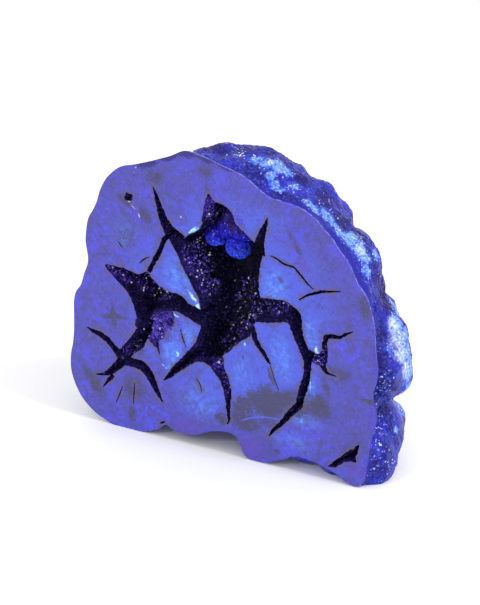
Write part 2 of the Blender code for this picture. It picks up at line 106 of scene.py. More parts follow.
# Mouths of the two hollows on the sawn face.
MAIN_MOUTH: tuple[Point2, ...] = (
    (-5.9, 43.9), (-4.9, 47.6), (-2.4, 48), (-0.2, 46.8), (0.6, 44.9), (2.4, 43.5), (4.4, 42), (6, 41),
    (5.4, 37.6), (5.2, 34), (5.6, 32), (6, 30), (5, 27.8), (4, 26.3), (3.4, 24.3), (1, 22.3), (-0.6, 20.5),
    (-2.1, 19.1), (-3.4, 16.6), (-5.6, 17), (-6.9, 17.4), (-7.6, 19.5), (-7.2, 21.5), (-6.5, 23.4),
    (-6.2, 25), (-6.3, 26.6), (-6.7, 28.9), (-7.4, 30.3), (-8.7, 32.5), (-9.9, 34.4), (-10.9, 36.6),
    (-12, 38.5), (-11.6, 40.4), (-9.7, 40.2), (-8.6, 41), (-6.6, 42.4),
)
SIDE_MOUTH: tuple[Point2, ...] = (
    (-26, 31.7), (-23, 31.9), (-20.8, 31.7), (-19.2, 31.4), (-17.2, 32.2), (-16.3, 31.2), (-14.9, 30.1),
    (-12.9, 29.3), (-10.8, 29.2), (-9.2, 28), (-9.8, 25.6), (-11.3, 25.8), (-13, 25.4), (-14.4, 25),
    (-15.8, 24.2), (-17, 23), (-18, 21.8), (-19.2, 21.6), (-19.7, 23.3), (-20.1, 24.6), (-20.6, 25.9),
    (-21.2, 27), (-22.2, 28.1), (-24.2, 29.7),
)

# Each crack: its points on the sawn face as (x, height, width across), and how deep it runs.
CRACKS: dict[str, tuple[CrackLine, float]] = {
    "top_notch": (((-3.6, 44.5, 5), (-4.2, 47, 3), (-4.7, 49.3, 0.3)), 4.5),
    "upper_left": (((-10.5, 39.2, 3.4), (-12.6, 41, 2.2), (-13.8, 42.9, 1.7), (-14.6, 45.2, 1.1),
        (-15.1, 46.9, 0.8), (-15.8, 48.6, 0.15)), 6),
    "upper_right": (((5.2, 40, 2.4), (5.3, 42.2, 1.8), (5.9, 44.4, 1.2), (6.5, 46, 0.6),
        (6.8, 47.1, 0.15)), 6),
    "left_seam": (((-12.7, 40.2, 1.1), (-13.7, 39, 0.9), (-14.5, 36.9, 0.9), (-15.4, 35.2, 0.9),
        (-16.3, 33.6, 0.8), (-16.9, 32.2, 0.8)), 4.5),
    "island_channel": (((-5.2, 25.2, 3.2), (-8, 26.2, 2.7), (-11.5, 27.3, 2.6)), 7),
    "lower_left": (((-5.8, 19.4, 4.2), (-8.2, 17.8, 2.4), (-9.8, 16.2, 1.9), (-11.3, 14.8, 1.5),
        (-12.8, 13, 1), (-14.2, 11.6, 0.15)), 5.5),
    "bottom": (((-3.6, 18.4, 3.6), (-2.8, 16.4, 2.4), (-1.6, 14.6, 1.8), (-1, 12.7, 1.6), (-0.9, 10.6, 1),
        (-0.9, 8.6, 0.7), (-0.7, 6.9, 0.45), (-1.1, 6, 0.15)), 6),
    "right_arm": (((4.4, 29.6, 4.6), (7.4, 30, 4.5), (10, 30.5, 4), (11.9, 30, 3.4), (12.5, 28.2, 2.4),
        (13.1, 26, 1.8), (14, 24.3, 1.8), (14.8, 22.4, 1.7), (14.8, 20.4, 1.3), (14.6, 18.6, 1.4),
        (14.1, 16.8, 1.6), (13.6, 15, 1.4), (13.3, 13.3, 1.4), (12.1, 11.9, 1.3), (11, 10.6, 1.1),
        (10.1, 9.2, 0.9), (9.1, 8.1, 0.8), (8.1, 7, 0.6), (7.3, 5.7, 0.15)), 6.5),
    "right_pocket": (((14.8, 23.6, 1.6), (16.6, 22.9, 2), (17.6, 23, 2.2), (18.1, 24.6, 1.1),
        (18, 26.2, 0.9), (18.4, 27.6, 0.9), (19.6, 27.9, 0.8), (20.9, 27.9, 0.5), (22, 28.8, 0.5),
        (23.4, 29.6, 0.15)), 4.5),
    "pocket_tail": (((17.3, 23.4, 2.2), (17.7, 22, 1.2), (18.6, 20.7, 0.5), (20.4, 20.5, 0.12)), 3),
    "inner_right": (((3.8, 26.4, 1.3), (4.4, 24.2, 1), (5.3, 22.7, 0.9), (6.3, 21.6, 0.8), (7, 20.5, 0.7),
        (7.6, 19.8, 0.15)), 4),
    "right_sliver": (((13, 33.3, 0.15), (14.8, 34.6, 0.4), (17.2, 35.7, 0.5), (20.9, 36.5, 0.15)), 2.5),
    "hollow_throat": (((-18.2, 22.4, 2.9), (-18.3, 20.2, 2.6), (-19.6, 18, 2.9), (-21.4, 16.1, 2.4),
        (-22.9, 14.3, 2.4)), 6),
    "junction_upper_left": (((-22.9, 14.2, 2), (-24.4, 15.6, 1.2), (-25.8, 17, 1.2), (-27.5, 17.8, 1.1),
        (-29, 18.1, 0.8), (-30.3, 18.6, 0.15)), 4),
    "junction_lower_left": (((-22.6, 13.9, 2.2), (-23.8, 12.4, 1.6), (-25.2, 10.9, 1.3), (-26.8, 9.9, 0.6),
        (-28.6, 9.5, 0.15)), 3.5),
    "junction_spur": (((-24.9, 10.2, 0.9), (-25.9, 8.9, 0.6), (-27.1, 7.3, 0.15)), 2),
    "junction_lower_right": (((-22.6, 13.9, 2.2), (-20.4, 13.7, 1.8), (-18.4, 13.4, 2), (-17.1, 12, 1.8),
        (-16.1, 10.2, 1.4), (-15.4, 8.7, 0.9), (-14.4, 7.1, 0.15)), 5),
    "corner_pocket": (((19.1, 2.7, 0.15), (20.6, 3.6, 1.2), (21.9, 4.9, 1), (23.2, 5.7, 2), (24, 6.7, 1.4),
        (25, 8.4, 0.15)), 3.5),
    "corner_spur": (((23.4, 5.9, 1.8), (24, 5.3, 1.3), (24.5, 4.9, 0.2)), 2.5),
}

# Fine cracks and pits that only scratch the sawn face, in the same form.
HAIRLINES: dict[str, tuple[CrackLine, float]] = {
    "right_hairline": (((7.4, 40.3, 0.1), (8.6, 40, 0.3), (10, 39.3, 0.32), (12, 39.1, 0.36),
        (13.3, 37.9, 0.34), (14.8, 36.4, 0.3), (15.8, 35.8, 0.1)), 0.9),
    "upper_left_hairline": (((-18.8, 33.5, 0.1), (-18, 34.4, 0.26), (-16.7, 35.2, 0.1)), 0.7),
    "far_left_hairline": (((-23.2, 36.9, 0.1), (-22.9, 36.5, 0.2), (-22.3, 35.8, 0.1)), 0.6),
    "block_hairline": (((-16.3, 20.3, 0.3), (-15.8, 19.7, 0.8), (-15.4, 18.2, 0.6),
        (-14.9, 16.5, 0.1)), 1.2),
    "block_nick": (((-10.6, 22.5, 0.1), (-10.1, 20.9, 0.22), (-9.5, 19.2, 0.1)), 0.8),
    "foot_hairline": (((-22.9, 8.4, 0.1), (-23.6, 6.6, 0.22), (-24.4, 4.7, 0.1)), 0.5),
    "foot_scratch": (((-20.3, 9.7, 0.1), (-20.5, 7.6, 0.24), (-20.7, 5.2, 0.1)), 0.5),
    "curved_line": (((-7.4, 13.6, 0.1), (-6.6, 12.6, 0.18), (-6.3, 11.2, 0.1)), 0.5),
    "brown_line": (((7.5, 19.6, 0.1), (8.2, 17.6, 0.14), (9.2, 15.2, 0.1)), 0.7),
    "top_pit": (((-21.6, 45.2, 0.3), (-21.1, 45.5, 1.5), (-20.5, 45.9, 1.5), (-20, 46.2, 0.3)), 1.3),
    "foot_pit": (((-15, 2.7, 0.2), (-14.6, 3, 0.45), (-14.1, 3.4, 0.2)), 0.7),
}

# Rounded lobes of the rind, as (x, depth, height, radius) of a ball each.
LOBES: tuple[Ball, ...] = (
    # the crest, as it shows above the sawn face
    (-7.7, 10, 45.1, 9), (-3.2, 10.6, 46.2, 8.7), (0.3, 10.5, 45.5, 8.8), (5, 9.8, 39.5, 12),
    # down the right side
    (15.3, 8.2, 35.1, 8.7), (15.8, 9.6, 36.3, 7.6), (20.4, 9, 26.2, 7.3), (21.1, 9, 20.3, 8.3),
    (22.2, 9.2, 19.9, 7.8), (19.3, 14, 15.5, 5.7), (20.2, 8.5, 6, 8.8), (22.2, 4.6, 4.5, 7.2),
    (23.2, 5.4, 3.2, 6.4), (13.2, 2.8, 3, 3),
    # the feet that it stands on
    (-21.5, 7.5, 8.8, 9.2), (-1, 16.5, 8.4, 8.9), (8.5, 8, 9.2, 8.9), (-12, 13.5, 8.3, 8.7),
    # the left side
    (-25, 8.5, 19, 7.6), (-23.5, 8, 31, 6.9), (-19.6, 8, 40.4, 8), (-21.5, 14, 24.5, 6.8),
    # the back
    (-13, 17.5, 19.5, 8.4), (-13.5, 17, 33, 8.6), (-8, 17.2, 41, 7.4), (0.5, 20.5, 36.5, 7),
    (1, 20.67, 24, 8.2), (11.6, 17, 30.3, 7.5), (11.6, 17, 17.6, 8.2), (7.2, 15.8, 39.6, 6.2),
    (-5.5, 21, 28.5, 7.2), (-4.5, 19, 15, 7.2), (17.2, 15.2, 23.8, 5.5), (11.5, 14.5, 9.5, 7.4),
)

# Rounded blue lumps that hang in the top of the main hollow, as balls.
LUMPS: tuple[Ball, ...] = (
    (-5.7, 4.6, 39.9, 2), (-3.5, 5.4, 41.6, 2.2), (-1, 5.2, 43, 3.3), (-1.2, 4.6, 38.8, 2.3),
)

# Shallow broken hollows beside the side hollow, as balls that are cut out.
BROKEN_SLOPE: tuple[Ball, ...] = (
    (-16.5, -2.6, 21.9, 4.3), (-13.6, -2.4, 23.6, 3.1),
)

# Where the light reaches the crystals of each hollow, as soft balls.
MAIN_BANKS: tuple[Ball, ...] = (
    (-9.8, 5, 34.6, 4.6), (-8.2, 4.5, 30.8, 3.6), (-11, 6.5, 37, 3.6), (-4.2, 3, 46, 3.2),
    (-4.6, 13.8, 25.5, 3.8), (-3.5, 10.8, 21.5, 4), (0.3, 9.5, 24, 3.4), (-4.5, 8.5, 17.6, 2.6),
    (-3, 3, 17, 3), (-1.4, 2.2, 13, 2.2), (2.4, 6, 27, 3.2), (4.5, 5, 36, 2.6), (7.5, 4.5, 28.4, 2.4),
    (16.6, 1.5, 23.4, 2.4), (-6.6, 6.5, 42.2, 2.4),
)
SIDE_BANKS: tuple[Ball, ...] = (
    (-21.2, 5.8, 27.6, 2.8), (-19, 7.5, 26, 2.6), (-23.4, 2.6, 29.4, 2), (-25, 1.2, 30.6, 1.6),
    (-16.2, 6.4, 26.2, 2.2), (-22.9, 3.6, 15, 2.2), (-15.8, 0.8, 21.4, 2.6), (-17.6, 2.5, 19, 2.4),
    (-7.6, 1.6, 18.6, 2),
)
SPLIT_X = -11.5  # crystals left of here on the sawn face line the side hollow


class Region(Enum):
    """The kinds of surface on the nodule, in the order of its material slots."""

    FACE = 0
    RIND = 1
    WALL = 2


def place(points: np.ndarray) -> np.ndarray:
    """Frame positions in metres of table points (x, depth, height) in millimetres."""
    return (np.atleast_2d(points) + TABLE_SHIFT) * MM


def place_inside(points: np.ndarray) -> np.ndarray:
    """Frame positions of table points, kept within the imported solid's box."""
    low, high = (np.array(corner) for corner in SOLID_BOUNDS)
    return np.clip(place(points), low, high)


def unplace(points: np.ndarray) -> np.ndarray:
    """Table points (x, depth, height) in millimetres of frame positions in metres."""
    return np.atleast_2d(points) / MM - TABLE_SHIFT


def rise(value: np.ndarray | float, low: float, high: float) -> np.ndarray | float:
    """0 below low, 1 above high, and a smooth rise between."""
    t = np.clip((value - low) / (high - low), 0.0, 1.0)
    return t * t * (3 - 2 * t)


def grain(points: np.ndarray, scale: float, seed: float = 0.0, octaves: int = 1) -> np.ndarray:
    """Smooth noise from about -1 to 1 at each point, with bumps about 1 / scale across."""
    shift = Vector((seed * 17.3, seed * 5.1, seed * 9.7))
    return np.array([noise.fractal(Vector(p) * scale + shift, 0.7, 2.0, octaves) for p in points])


def pebbles(points: np.ndarray, scale: float, seed: float = 0.0) -> np.ndarray:
    """Rounded pebbles at each point.

    Args:
        points: where they are wanted, shape (n, 3).
        scale: a pebble is about 1 / scale across.
        seed: picks another set of pebbles.

    Returns:
        1 on top of each pebble, falling to 0 in the seams.
    """
    reach = 0.72
    shift = Vector((seed * 3.7, seed * 11.9, seed * 7.3))
    nearest = np.array([noise.voronoi(Vector(p) * scale + shift)[0][0] for p in points])
    return np.sqrt(np.clip(1 - (nearest / reach) ** 2, 0.0, 1.0))


def lengths_along(points: np.ndarray) -> np.ndarray:
    """How far along the line through these points each of them lies."""
    return np.concatenate([[0], np.cumsum(np.linalg.norm(np.diff(points, axis=0), axis=1))])


def smooth_loop(points: Sequence[Point2], steps: int) -> np.ndarray:
    """Points evenly spaced along a closed smooth curve through the given ones.

    Args:
        points: the corners of the loop, in order.
        steps: how many points to return.

    Returns:
        An array of shape (steps, 2).
    """
    a, b, c, d = (np.roll(np.array(points, float), 1 - k, axis=0)[:, None, :] for k in range(4))
    t = np.linspace(0, 1, 12, endpoint=False)[None, :, None]
    bend = (2 * a - 5 * b + 4 * c - d) * t + (3 * b - a - 3 * c + d) * t * t
    fine = (b + 0.5 * t * (c - a + bend)).reshape(-1, 2)
    fine = np.vstack([fine, fine[:1]])
    lengths = lengths_along(fine)
    stops = np.linspace(0, lengths[-1], steps, endpoint=False)
    return np.stack([np.interp(stops, lengths, fine[:, k]) for k in range(2)], 1)


def stitch(loop: range, next_loop: range) -> Faces:
    """Joins two closed loops of vertices, which may differ in number.

    Args:
        loop: the vertices of the first loop.
        next_loop: the vertices of the loop beside it.

    Returns:
        The triangles between them.
    """
    faces: Faces = []
    i, j = 0, 0
    count, next_count = len(loop), len(next_loop)
    while i < count or j < next_count:
        here, there = loop[i % count], next_loop[j % next_count]
        if j >= next_count or (i < count and (i + 1) / count <= (j + 1) / next_count):
            faces.append((here, there, loop[(i + 1) % count]))
            i += 1
        else:
            faces.append((here, there, next_loop[(j + 1) % next_count]))
            j += 1
    return faces


def closed_stack(rings: Sequence[np.ndarray]) -> tuple[np.ndarray, Faces]:
    """Joins rings of points into a closed body, with a flat cap on each end.

    Args:
        rings: the rings in order, each of shape (n, 3).

    Returns:
        The body's vertices and faces.
    """
    ends = np.cumsum([len(ring) for ring in rings]).tolist()
    spans = [range(end - len(ring), end) for end, ring in zip(ends, rings)]
    faces: Faces = []
    for loop, next_loop in zip(spans, spans[1:]):
        faces += stitch(loop, next_loop)
    return np.vstack(rings), [*faces, tuple(spans[0]), tuple(reversed(spans[-1]))]


def make_object(name: str, points: np.ndarray, faces: Iterable, turn_out: bool = True) -> bpy.types.Object:
    """Makes a mesh object and puts it in the scene.

    Args:
        name: the object's name.
        points: its vertices, as frame positions.
        faces: the vertices of each face.
        turn_out: whether its faces still have to be turned to face out.

    Returns:
        The object.
    """
    mesh = bpy.data.meshes.new(name)
    mesh.from_pydata(points.tolist(), [], [tuple(face) for face in faces])
    if turn_out:
        bm = bmesh.new()
        bm.from_mesh(mesh)
        bmesh.ops.recalc_face_normals(bm, faces=bm.faces)
        bm.to_mesh(mesh)
        bm.free()
    obj = bpy.data.objects.new(name, mesh)
    bpy.context.scene.collection.objects.link(obj)
    return obj


def icosphere() -> tuple[np.ndarray, np.ndarray]:
    """Makes a ball of radius 1.

    Returns:
        Its points and its triangles.
    """
    bm = bmesh.new()
    bmesh.ops.create_icosphere(bm, subdivisions=BALL_DIVISIONS, radius=1.0)
    bm.verts.index_update()
    points = np.array([v.co[:] for v in bm.verts])
    faces = np.array([[v.index for v in face.verts] for face in bm.faces])
    bm.free()
    return points, faces


def read(items: bpy.types.bpy_prop_collection, name: str, width: int, kind: type = np.float32) -> np.ndarray:
    """Reads one property of each of a mesh's vertices, triangles or polygons.

    Args:
        items: the mesh's vertices, triangles or polygons.
        name: the property.
        width: how many numbers it has.
        kind: their type.

    Returns:
        A row of numbers for each item.
    """
    values = np.empty(len(items) * width, kind)
    items.foreach_get(name, values)
    return values.reshape(-1, width)


def positions(mesh: bpy.types.Mesh) -> np.ndarray:
    """The mesh's vertices, as table points."""
    return unplace(read(mesh.vertices, "co", 3).astype(float))


def store(mesh: bpy.types.Mesh, name: str, values: np.ndarray) -> None:
    """Writes a number for each vertex, which a finish can read by name."""
    attribute = mesh.attributes.new(name, "FLOAT", "POINT")
    attribute.data.foreach_set("value", values.astype(np.float32))


def cut_away(obj: bpy.types.Object, cutter: bpy.types.Object) -> None:
    """Cuts the cutter out of the object, then removes the cutter.

    Args:
        obj: the object, whose mesh is replaced.
        cutter: a closed object.
    """
    cut = obj.modifiers.new("cut", "BOOLEAN")
    cut.operation = "DIFFERENCE"
    cut.solver = "MANIFOLD"
    cut.object = cutter
    graph = bpy.context.evaluated_depsgraph_get()
    mesh = bpy.data.meshes.new_from_object(obj.evaluated_get(graph), depsgraph=graph)
    obj.modifiers.clear()
    old = obj.data
    obj.data = mesh
    bpy.data.meshes.remove(old)
    bpy.data.objects.remove(cutter)


@dataclass
class Rind:
    """The nodule's outer surface: a dome behind the sawn outline, with lobes, knobs and grit on it.

    Directions and points here are (x, depth, height) from the growth centre.
    """

    depth: float = 27.5
    squareness: float = 2.3
    dome_share: float = 0.94  # the dome shows between the lobes, sunk to this share
    spacing: float = 0.36
    face_spacing: float = 0.55
    face_width: float = 29.0
    back_run: float = 46.0  # from the sawn edge over the rind to the middle of the back
    girth: float = 205.0
    knob_count: int = 120
    knob_radius: Point2 = (2.2, 4.0)
    knob_sink: float = 0.82
    pebble_height: float = 0.16
    grit_height: float = 0.07
    pebble_scales: Point2 = (0.7, 1.6)
    fine_share: float = 0.8  # the finer pebbles stand this share as high as the coarser
    swell_height: float = 0.12
    smoothness: float = 0.12  # this share of the roughness is left on the smooth band
    band_width: float = 1.2
    band_wander: float = 0.5
    band_extra: float = 2.6  # the band is this much wider on the right
    blending: float = 70.0
    fullness: float = 0.993
    least_lift: float = 0.1  # the sine of the lowest knob's lift
    wander: float = 0.3
    onset: Point2 = (0.1, 3.2)  # the lobes rise from the dome between these depths
    edge: np.ndarray = field(init=False)
    balls: np.ndarray = field(init=False)

    def __post_init__(self) -> None:
        """Finds the outline's directions and spreads the knobs over the lobes."""
        steps = smooth_loop(FACE_OUTLINE, 1200) - np.array(GROWTH_CENTRE)
        angles = np.unwrap(np.arctan2(steps[:, 1], steps[:, 0]))
        self.edge = np.stack([angles, np.linalg.norm(steps, axis=1)], 1)
        self.balls = np.array(LOBES, float) - np.array([*GROWTH_POINT, 0.0])
        self.balls = np.vstack([self.balls, self._knobs()])

    def _knobs(self) -> np.ndarray:
        """Spreads knobs evenly over the rind.

        Returns:
            Rows of (x, depth, height, radius).
        """
        pick = random.Random(5)
        rows = []
        for n in range(self.knob_count):
            share = (n + 0.5) / self.knob_count
            lift = math.asin(self.least_lift + (1 - self.least_lift) * share)
            angle = n * GOLDEN_ANGLE + pick.uniform(-0.1, 0.1)
            direction = self.directions(np.array([angle]), np.array([lift]))
            radius = pick.uniform(*self.knob_radius)
            centre = direction[0] * (self.reach(direction)[0] - self.knob_sink * radius)
            rows.append([*centre, radius])
        return np.array(rows)

    @staticmethod
    def directions(angles: np.ndarray, lifts: np.ndarray) -> np.ndarray:
        """Unit directions at these angles round the face and lifts away from it."""
        return np.stack([np.cos(lifts) * np.cos(angles), np.sin(lifts), np.cos(lifts) * np.sin(angles)], 1)

    def edge_reach(self, angles: np.ndarray) -> np.ndarray:
        """How far the sawn outline is from the growth centre at these angles."""
        known = self.edge[np.argsort(self.edge[:, 0] % math.tau)]
        return np.interp(angles % math.tau, known[:, 0] % math.tau, known[:, 1], period=math.tau)

    def reach(self, directions: np.ndarray) -> np.ndarray:
        """Finds how far the rind is from the growth centre, before its grit.

        Args:
            directions: unit directions, shape (n, 3).

        Returns:
            A distance for each.
        """
        across = np.hypot(directions[:, 0], directions[:, 2])
        edge = self.edge_reach(np.arctan2(directions[:, 2], directions[:, 0]))
        power = self.squareness
        inward = np.clip(directions[:, 1], 0, None) / self.depth
        dome = ((across / edge) ** power + inward**power) ** (-1 / power)
        along = directions @ self.balls[:, :3].T
        inside = along**2 - (self.balls[:, :3] ** 2).sum(1) + self.balls[:, 3] ** 2
        exits = np.where(inside > 0, along + np.sqrt(np.clip(inside, 0, None)), 0.0)
        lobes = exits[:, : len(LOBES)].max(1)
        has_knobs = exits.shape[1] > len(LOBES)
        knobs = np.sort(exits[:, len(LOBES) :], axis=1)[:, -4:] if has_knobs else lobes[:, None]
        parts = np.column_stack([dome * self.dome_share, lobes, knobs])
        top = parts.max(1)
        lumpy = top * ((parts / top[:, None]) ** self.blending).sum(1) ** (1 / self.blending) * self.fullness
        return dome + (lumpy - dome) * rise(dome * directions[:, 1], *self.onset)

    def face_rings(self, count: int) -> list[np.ndarray]:
        """Spreads rings of points over the sawn face, from its middle out to its edge.

        Args:
            count: how many points the edge has.

        Returns:
            The rings.
        """
        rings = []
        steps = int(self.face_width / self.face_spacing)
        for k in range(1, steps + 1):
            share = k / steps
            around = count if k == steps else max(8, round(count * share * 0.8))
            loop = smooth_loop(FACE_OUTLINE, around)
            ring = np.stack([loop[:, 0], np.zeros(around), loop[:, 1]], 1)
            rings.append(GROWTH_POINT + (ring - GROWTH_POINT) * share)
        return rings

    def rind_rings(self, count: int) -> list[np.ndarray]:
        """Spreads rings of points over the rind, from just behind the sawn edge to the middle of the back.

        Args:
            count: how many points the edge has.

        Returns:
            The rings, which wander a little, so that no rows show.
        """
        pick = np.random.default_rng(2)
        wander = self.wander
        rings = []
        steps = int(self.back_run / self.spacing)
        marks = np.arange(len(self.edge) + 1)
        turned = np.append(self.edge[:, 0], self.edge[0, 0] - math.tau)
        for k in range(1, steps):
            lift = k / steps * math.pi / 2
            around = count if k < 3 else max(12, round(count * math.cos(lift) ** 0.9))
            shares = (np.arange(around) + pick.uniform(-wander, wander, around) * min(1.0, k / 4)) / around
            angles = np.interp(shares * len(self.edge), marks, turned)
            lifts = lift + pick.uniform(-wander, wander, around) * math.pi / 2 / steps
            directions = self.directions(angles, lifts)
            rings.append(directions * self.reach(directions)[:, None])
        return rings

    def roughen(self, points: np.ndarray) -> np.ndarray:
        """Adds pebbles and grit, which start a little behind the sawn edge.

        Args:
            points: points on the smooth rind, shape (n, 3).

        Returns:
            The points, moved out or in.
        """
        pick = np.random.default_rng(3)
        size = np.linalg.norm(points, axis=1)
        band = self.band_width + self.band_wander * grain(points, 0.16, 9.0)
        band = band + self.band_extra * rise(points[:, 0], -7.0, 11.0)
        onset = rise(points[:, 1] - band, -0.5, 0.7)
        coarse, fine = self.pebble_scales
        bumps = self.pebble_height * (pebbles(points, coarse, 1.0) - 1.0)
        bumps += self.fine_share * self.pebble_height * (pebbles(points, fine, 2.0) - 1.0)
        bumps += self.swell_height * grain(points, 0.4, 4.0, 3)
        bumps += self.grit_height * pick.uniform(-1, 1, len(points))
        bumps *= self.smoothness + (1 - self.smoothness) * onset
        return points * (1 + bumps / size)[:, None]

    def build(self) -> bpy.types.Object:
        """Builds the nodule, whole behind its sawn face.

        Returns:
            The object.
        """
        count = int(self.girth / self.spacing)
        face = self.face_rings(count)
        behind = self.rind_rings(count)
        sizes = [len(ring) for ring in behind]
        rough = self.roughen(np.vstack(behind)) + GROWTH_POINT
        points, faces = closed_stack(face + np.split(rough, np.cumsum(sizes)[:-1]))
        points[:, 1] = np.maximum(points[:, 1], 0.0)
        return make_object("nodule_fine", place_inside(points), faces)


@dataclass
class Hollow:
    """A hollow behind the sawn face. Its middle drifts sideways from the mouth to its deepest point."""

    name: str
    mouth: Sequence[Point2]
    centre: Point2
    drift: Point2
    depth: float
    squareness: float
    around: int = 380
    level_height: float = 0.45
    noise_reach: float = 2.1
    swelling: float = 0.16
    ledge: float = 0.5
    chip: float = 0.17
    floor_share: float = 0.985  # the last level lies at this share of the depth

    def ring(self, share: float) -> np.ndarray:
        """Finds the wall at one level.

        Args:
            share: the level's share of the depth.

        Returns:
            Its points as (x, depth, height), with ledges and a chipped edge.
        """
        steps = smooth_loop(self.mouth, self.around) - np.array(self.centre)
        aim = steps / np.linalg.norm(steps, axis=1)[:, None] * self.noise_reach
        swell = np.array([noise.noise(Vector((a, b, share * 3 + self.depth))) for a, b in aim])
        closing = (1 - share**self.squareness) ** (1 / self.squareness)
        steps = steps * (closing * (1 + self.swelling * swell * rise(share, 0.05, 0.4)))[:, None]
        flat = np.array(self.centre) + np.array(self.drift) * share + steps
        points = np.stack([flat[:, 0], np.full(self.around, share * self.depth), flat[:, 1]], 1)
        coarse = self.ledge * grain(points, 0.42, 7.0, 2) * rise(points[:, 1], 0.2, 2.5)
        fine = self.chip * grain(points * np.array([1, 0.5, 1]), 1.3, 8.0, 3)
        move = (coarse + fine) * closing
        outward = aim / self.noise_reach
        return points + np.stack([outward[:, 0] * move, np.zeros(len(move)), outward[:, 1] * move], 1)

    def build_cutter(self) -> bpy.types.Object:
        """Builds the solid that is cut out of the nodule.

        Returns:
            The solid, which stands a little out of the sawn face.
        """
        shares = np.append(np.arange(0, 0.97, self.level_height / self.depth), self.floor_share)
        rings = [self.ring(share) for share in shares]
        points, faces = closed_stack([rings[0] - np.array([0, 1.0, 0]), *rings])
        return make_object(self.name + "_cutter", place(points), faces)


@dataclass
class Crack:
    """A shrinkage crack: a ragged wedge that closes at its depth."""

    name: str
    line: CrackLine
    depth: float
    spacing: float = 0.2
    levels: tuple[float, ...] = (0.0, 0.12, 0.3, 0.52, 0.76, 1.0)
    least_half: float = 0.02
    taper: float = 1.6
    shallowing: float = 0.45  # how fast the crack gets shallower where it is narrow
    lean: float = 0.35
    chip: float = 0.17
    splinter: float = 0.11

    def resampled(self) -> np.ndarray:
        """Spaces the crack's line evenly and smooths it.

        Returns:
            Rows of (x, height, width).
        """
        line = np.array(self.line, float)
        lengths = lengths_along(line[:, :2])
        stops = np.linspace(0, lengths[-1], max(6, int(lengths[-1] / self.spacing)))
        rows = np.stack([np.interp(stops, lengths, line[:, k]) for k in range(3)], 1)
        for _ in range(2):
            rows[1:-1] = (rows[:-2] + 2 * rows[1:-1] + rows[2:]) / 4
        return rows

    def build_cutter(self) -> bpy.types.Object:
        """Builds the wedge that is cut out of the nodule.

        Returns:
            The wedge, which stands a little out of the sawn face.
        """
        rows = self.resampled()
        run = np.gradient(rows[:, :2], axis=0)
        side = np.stack([-run[:, 1], run[:, 0]], 1) / np.linalg.norm(run, axis=1)[:, None]
        deep = self.depth * (rows[:, 2] / rows[:, 2].max()) ** self.shallowing
        points, faces = closed_stack([self._section(*parts) for parts in zip(rows, side, deep)])
        return make_object("crack_" + self.name, place(points), faces)

    def _section(self, row: np.ndarray, side: np.ndarray, deep: float) -> np.ndarray:
        """Finds the wedge's outline across the crack.

        Args:
            row: x, height and width there.
            side: the direction across the crack, on the sawn face.
            deep: how deep the crack is there.

        Returns:
            Points from the sawn face down one side and up the other.
        """
        x, z, width = row
        banks: list[list[np.ndarray]] = [[], []]
        for level in (-1.0 / deep, *self.levels):
            depth = level * deep
            here = Vector((x * 0.9, depth * 0.55, z * 0.9))
            lean = self.lean * noise.noise(here * 0.6) * min(1.0, max(level, 0.0) * 3)
            half = width / 2 * (1 - max(level, 0.0) ** self.taper) + self.least_half
            for n, bank in enumerate(banks):
                sign = 1 - 2 * n
                chip = self.chip * noise.noise(here * 1.9 + Vector((31.0 * n, 0, 0)))
                chip += self.splinter * noise.noise(here * 4.7 + Vector((17.0 * n, 5.0, 0)))
                chip *= min(1.0, width * 1.3)
                away = side * (sign * max(half + chip, self.least_half) + lean)
                bank.append(np.array([x + away[0], depth, z + away[1]]))
        return np.array(banks[0] + banks[1][::-1])


@dataclass
class Scoop:
    """A shallow broken hollow: a rough ball that is cut out of the sawn face."""

    name: str
    ball: Ball
    ledge: float = 0.19
    grit: float = 0.05

    def build_cutter(self) -> bpy.types.Object:
        """Builds the ball, with ledges on it.

        Returns:
            The ball.
        """
        *centre, radius = self.ball
        points, faces = icosphere()
        swell = 1 + self.ledge * grain(points, 2.1, 12.0, 4) - self.grit * pebbles(points, 4.0, 2.0)
        points = points * (radius * swell)[:, None] + np.array(centre)
        return make_object(self.name + "_cutter", place(points), faces)


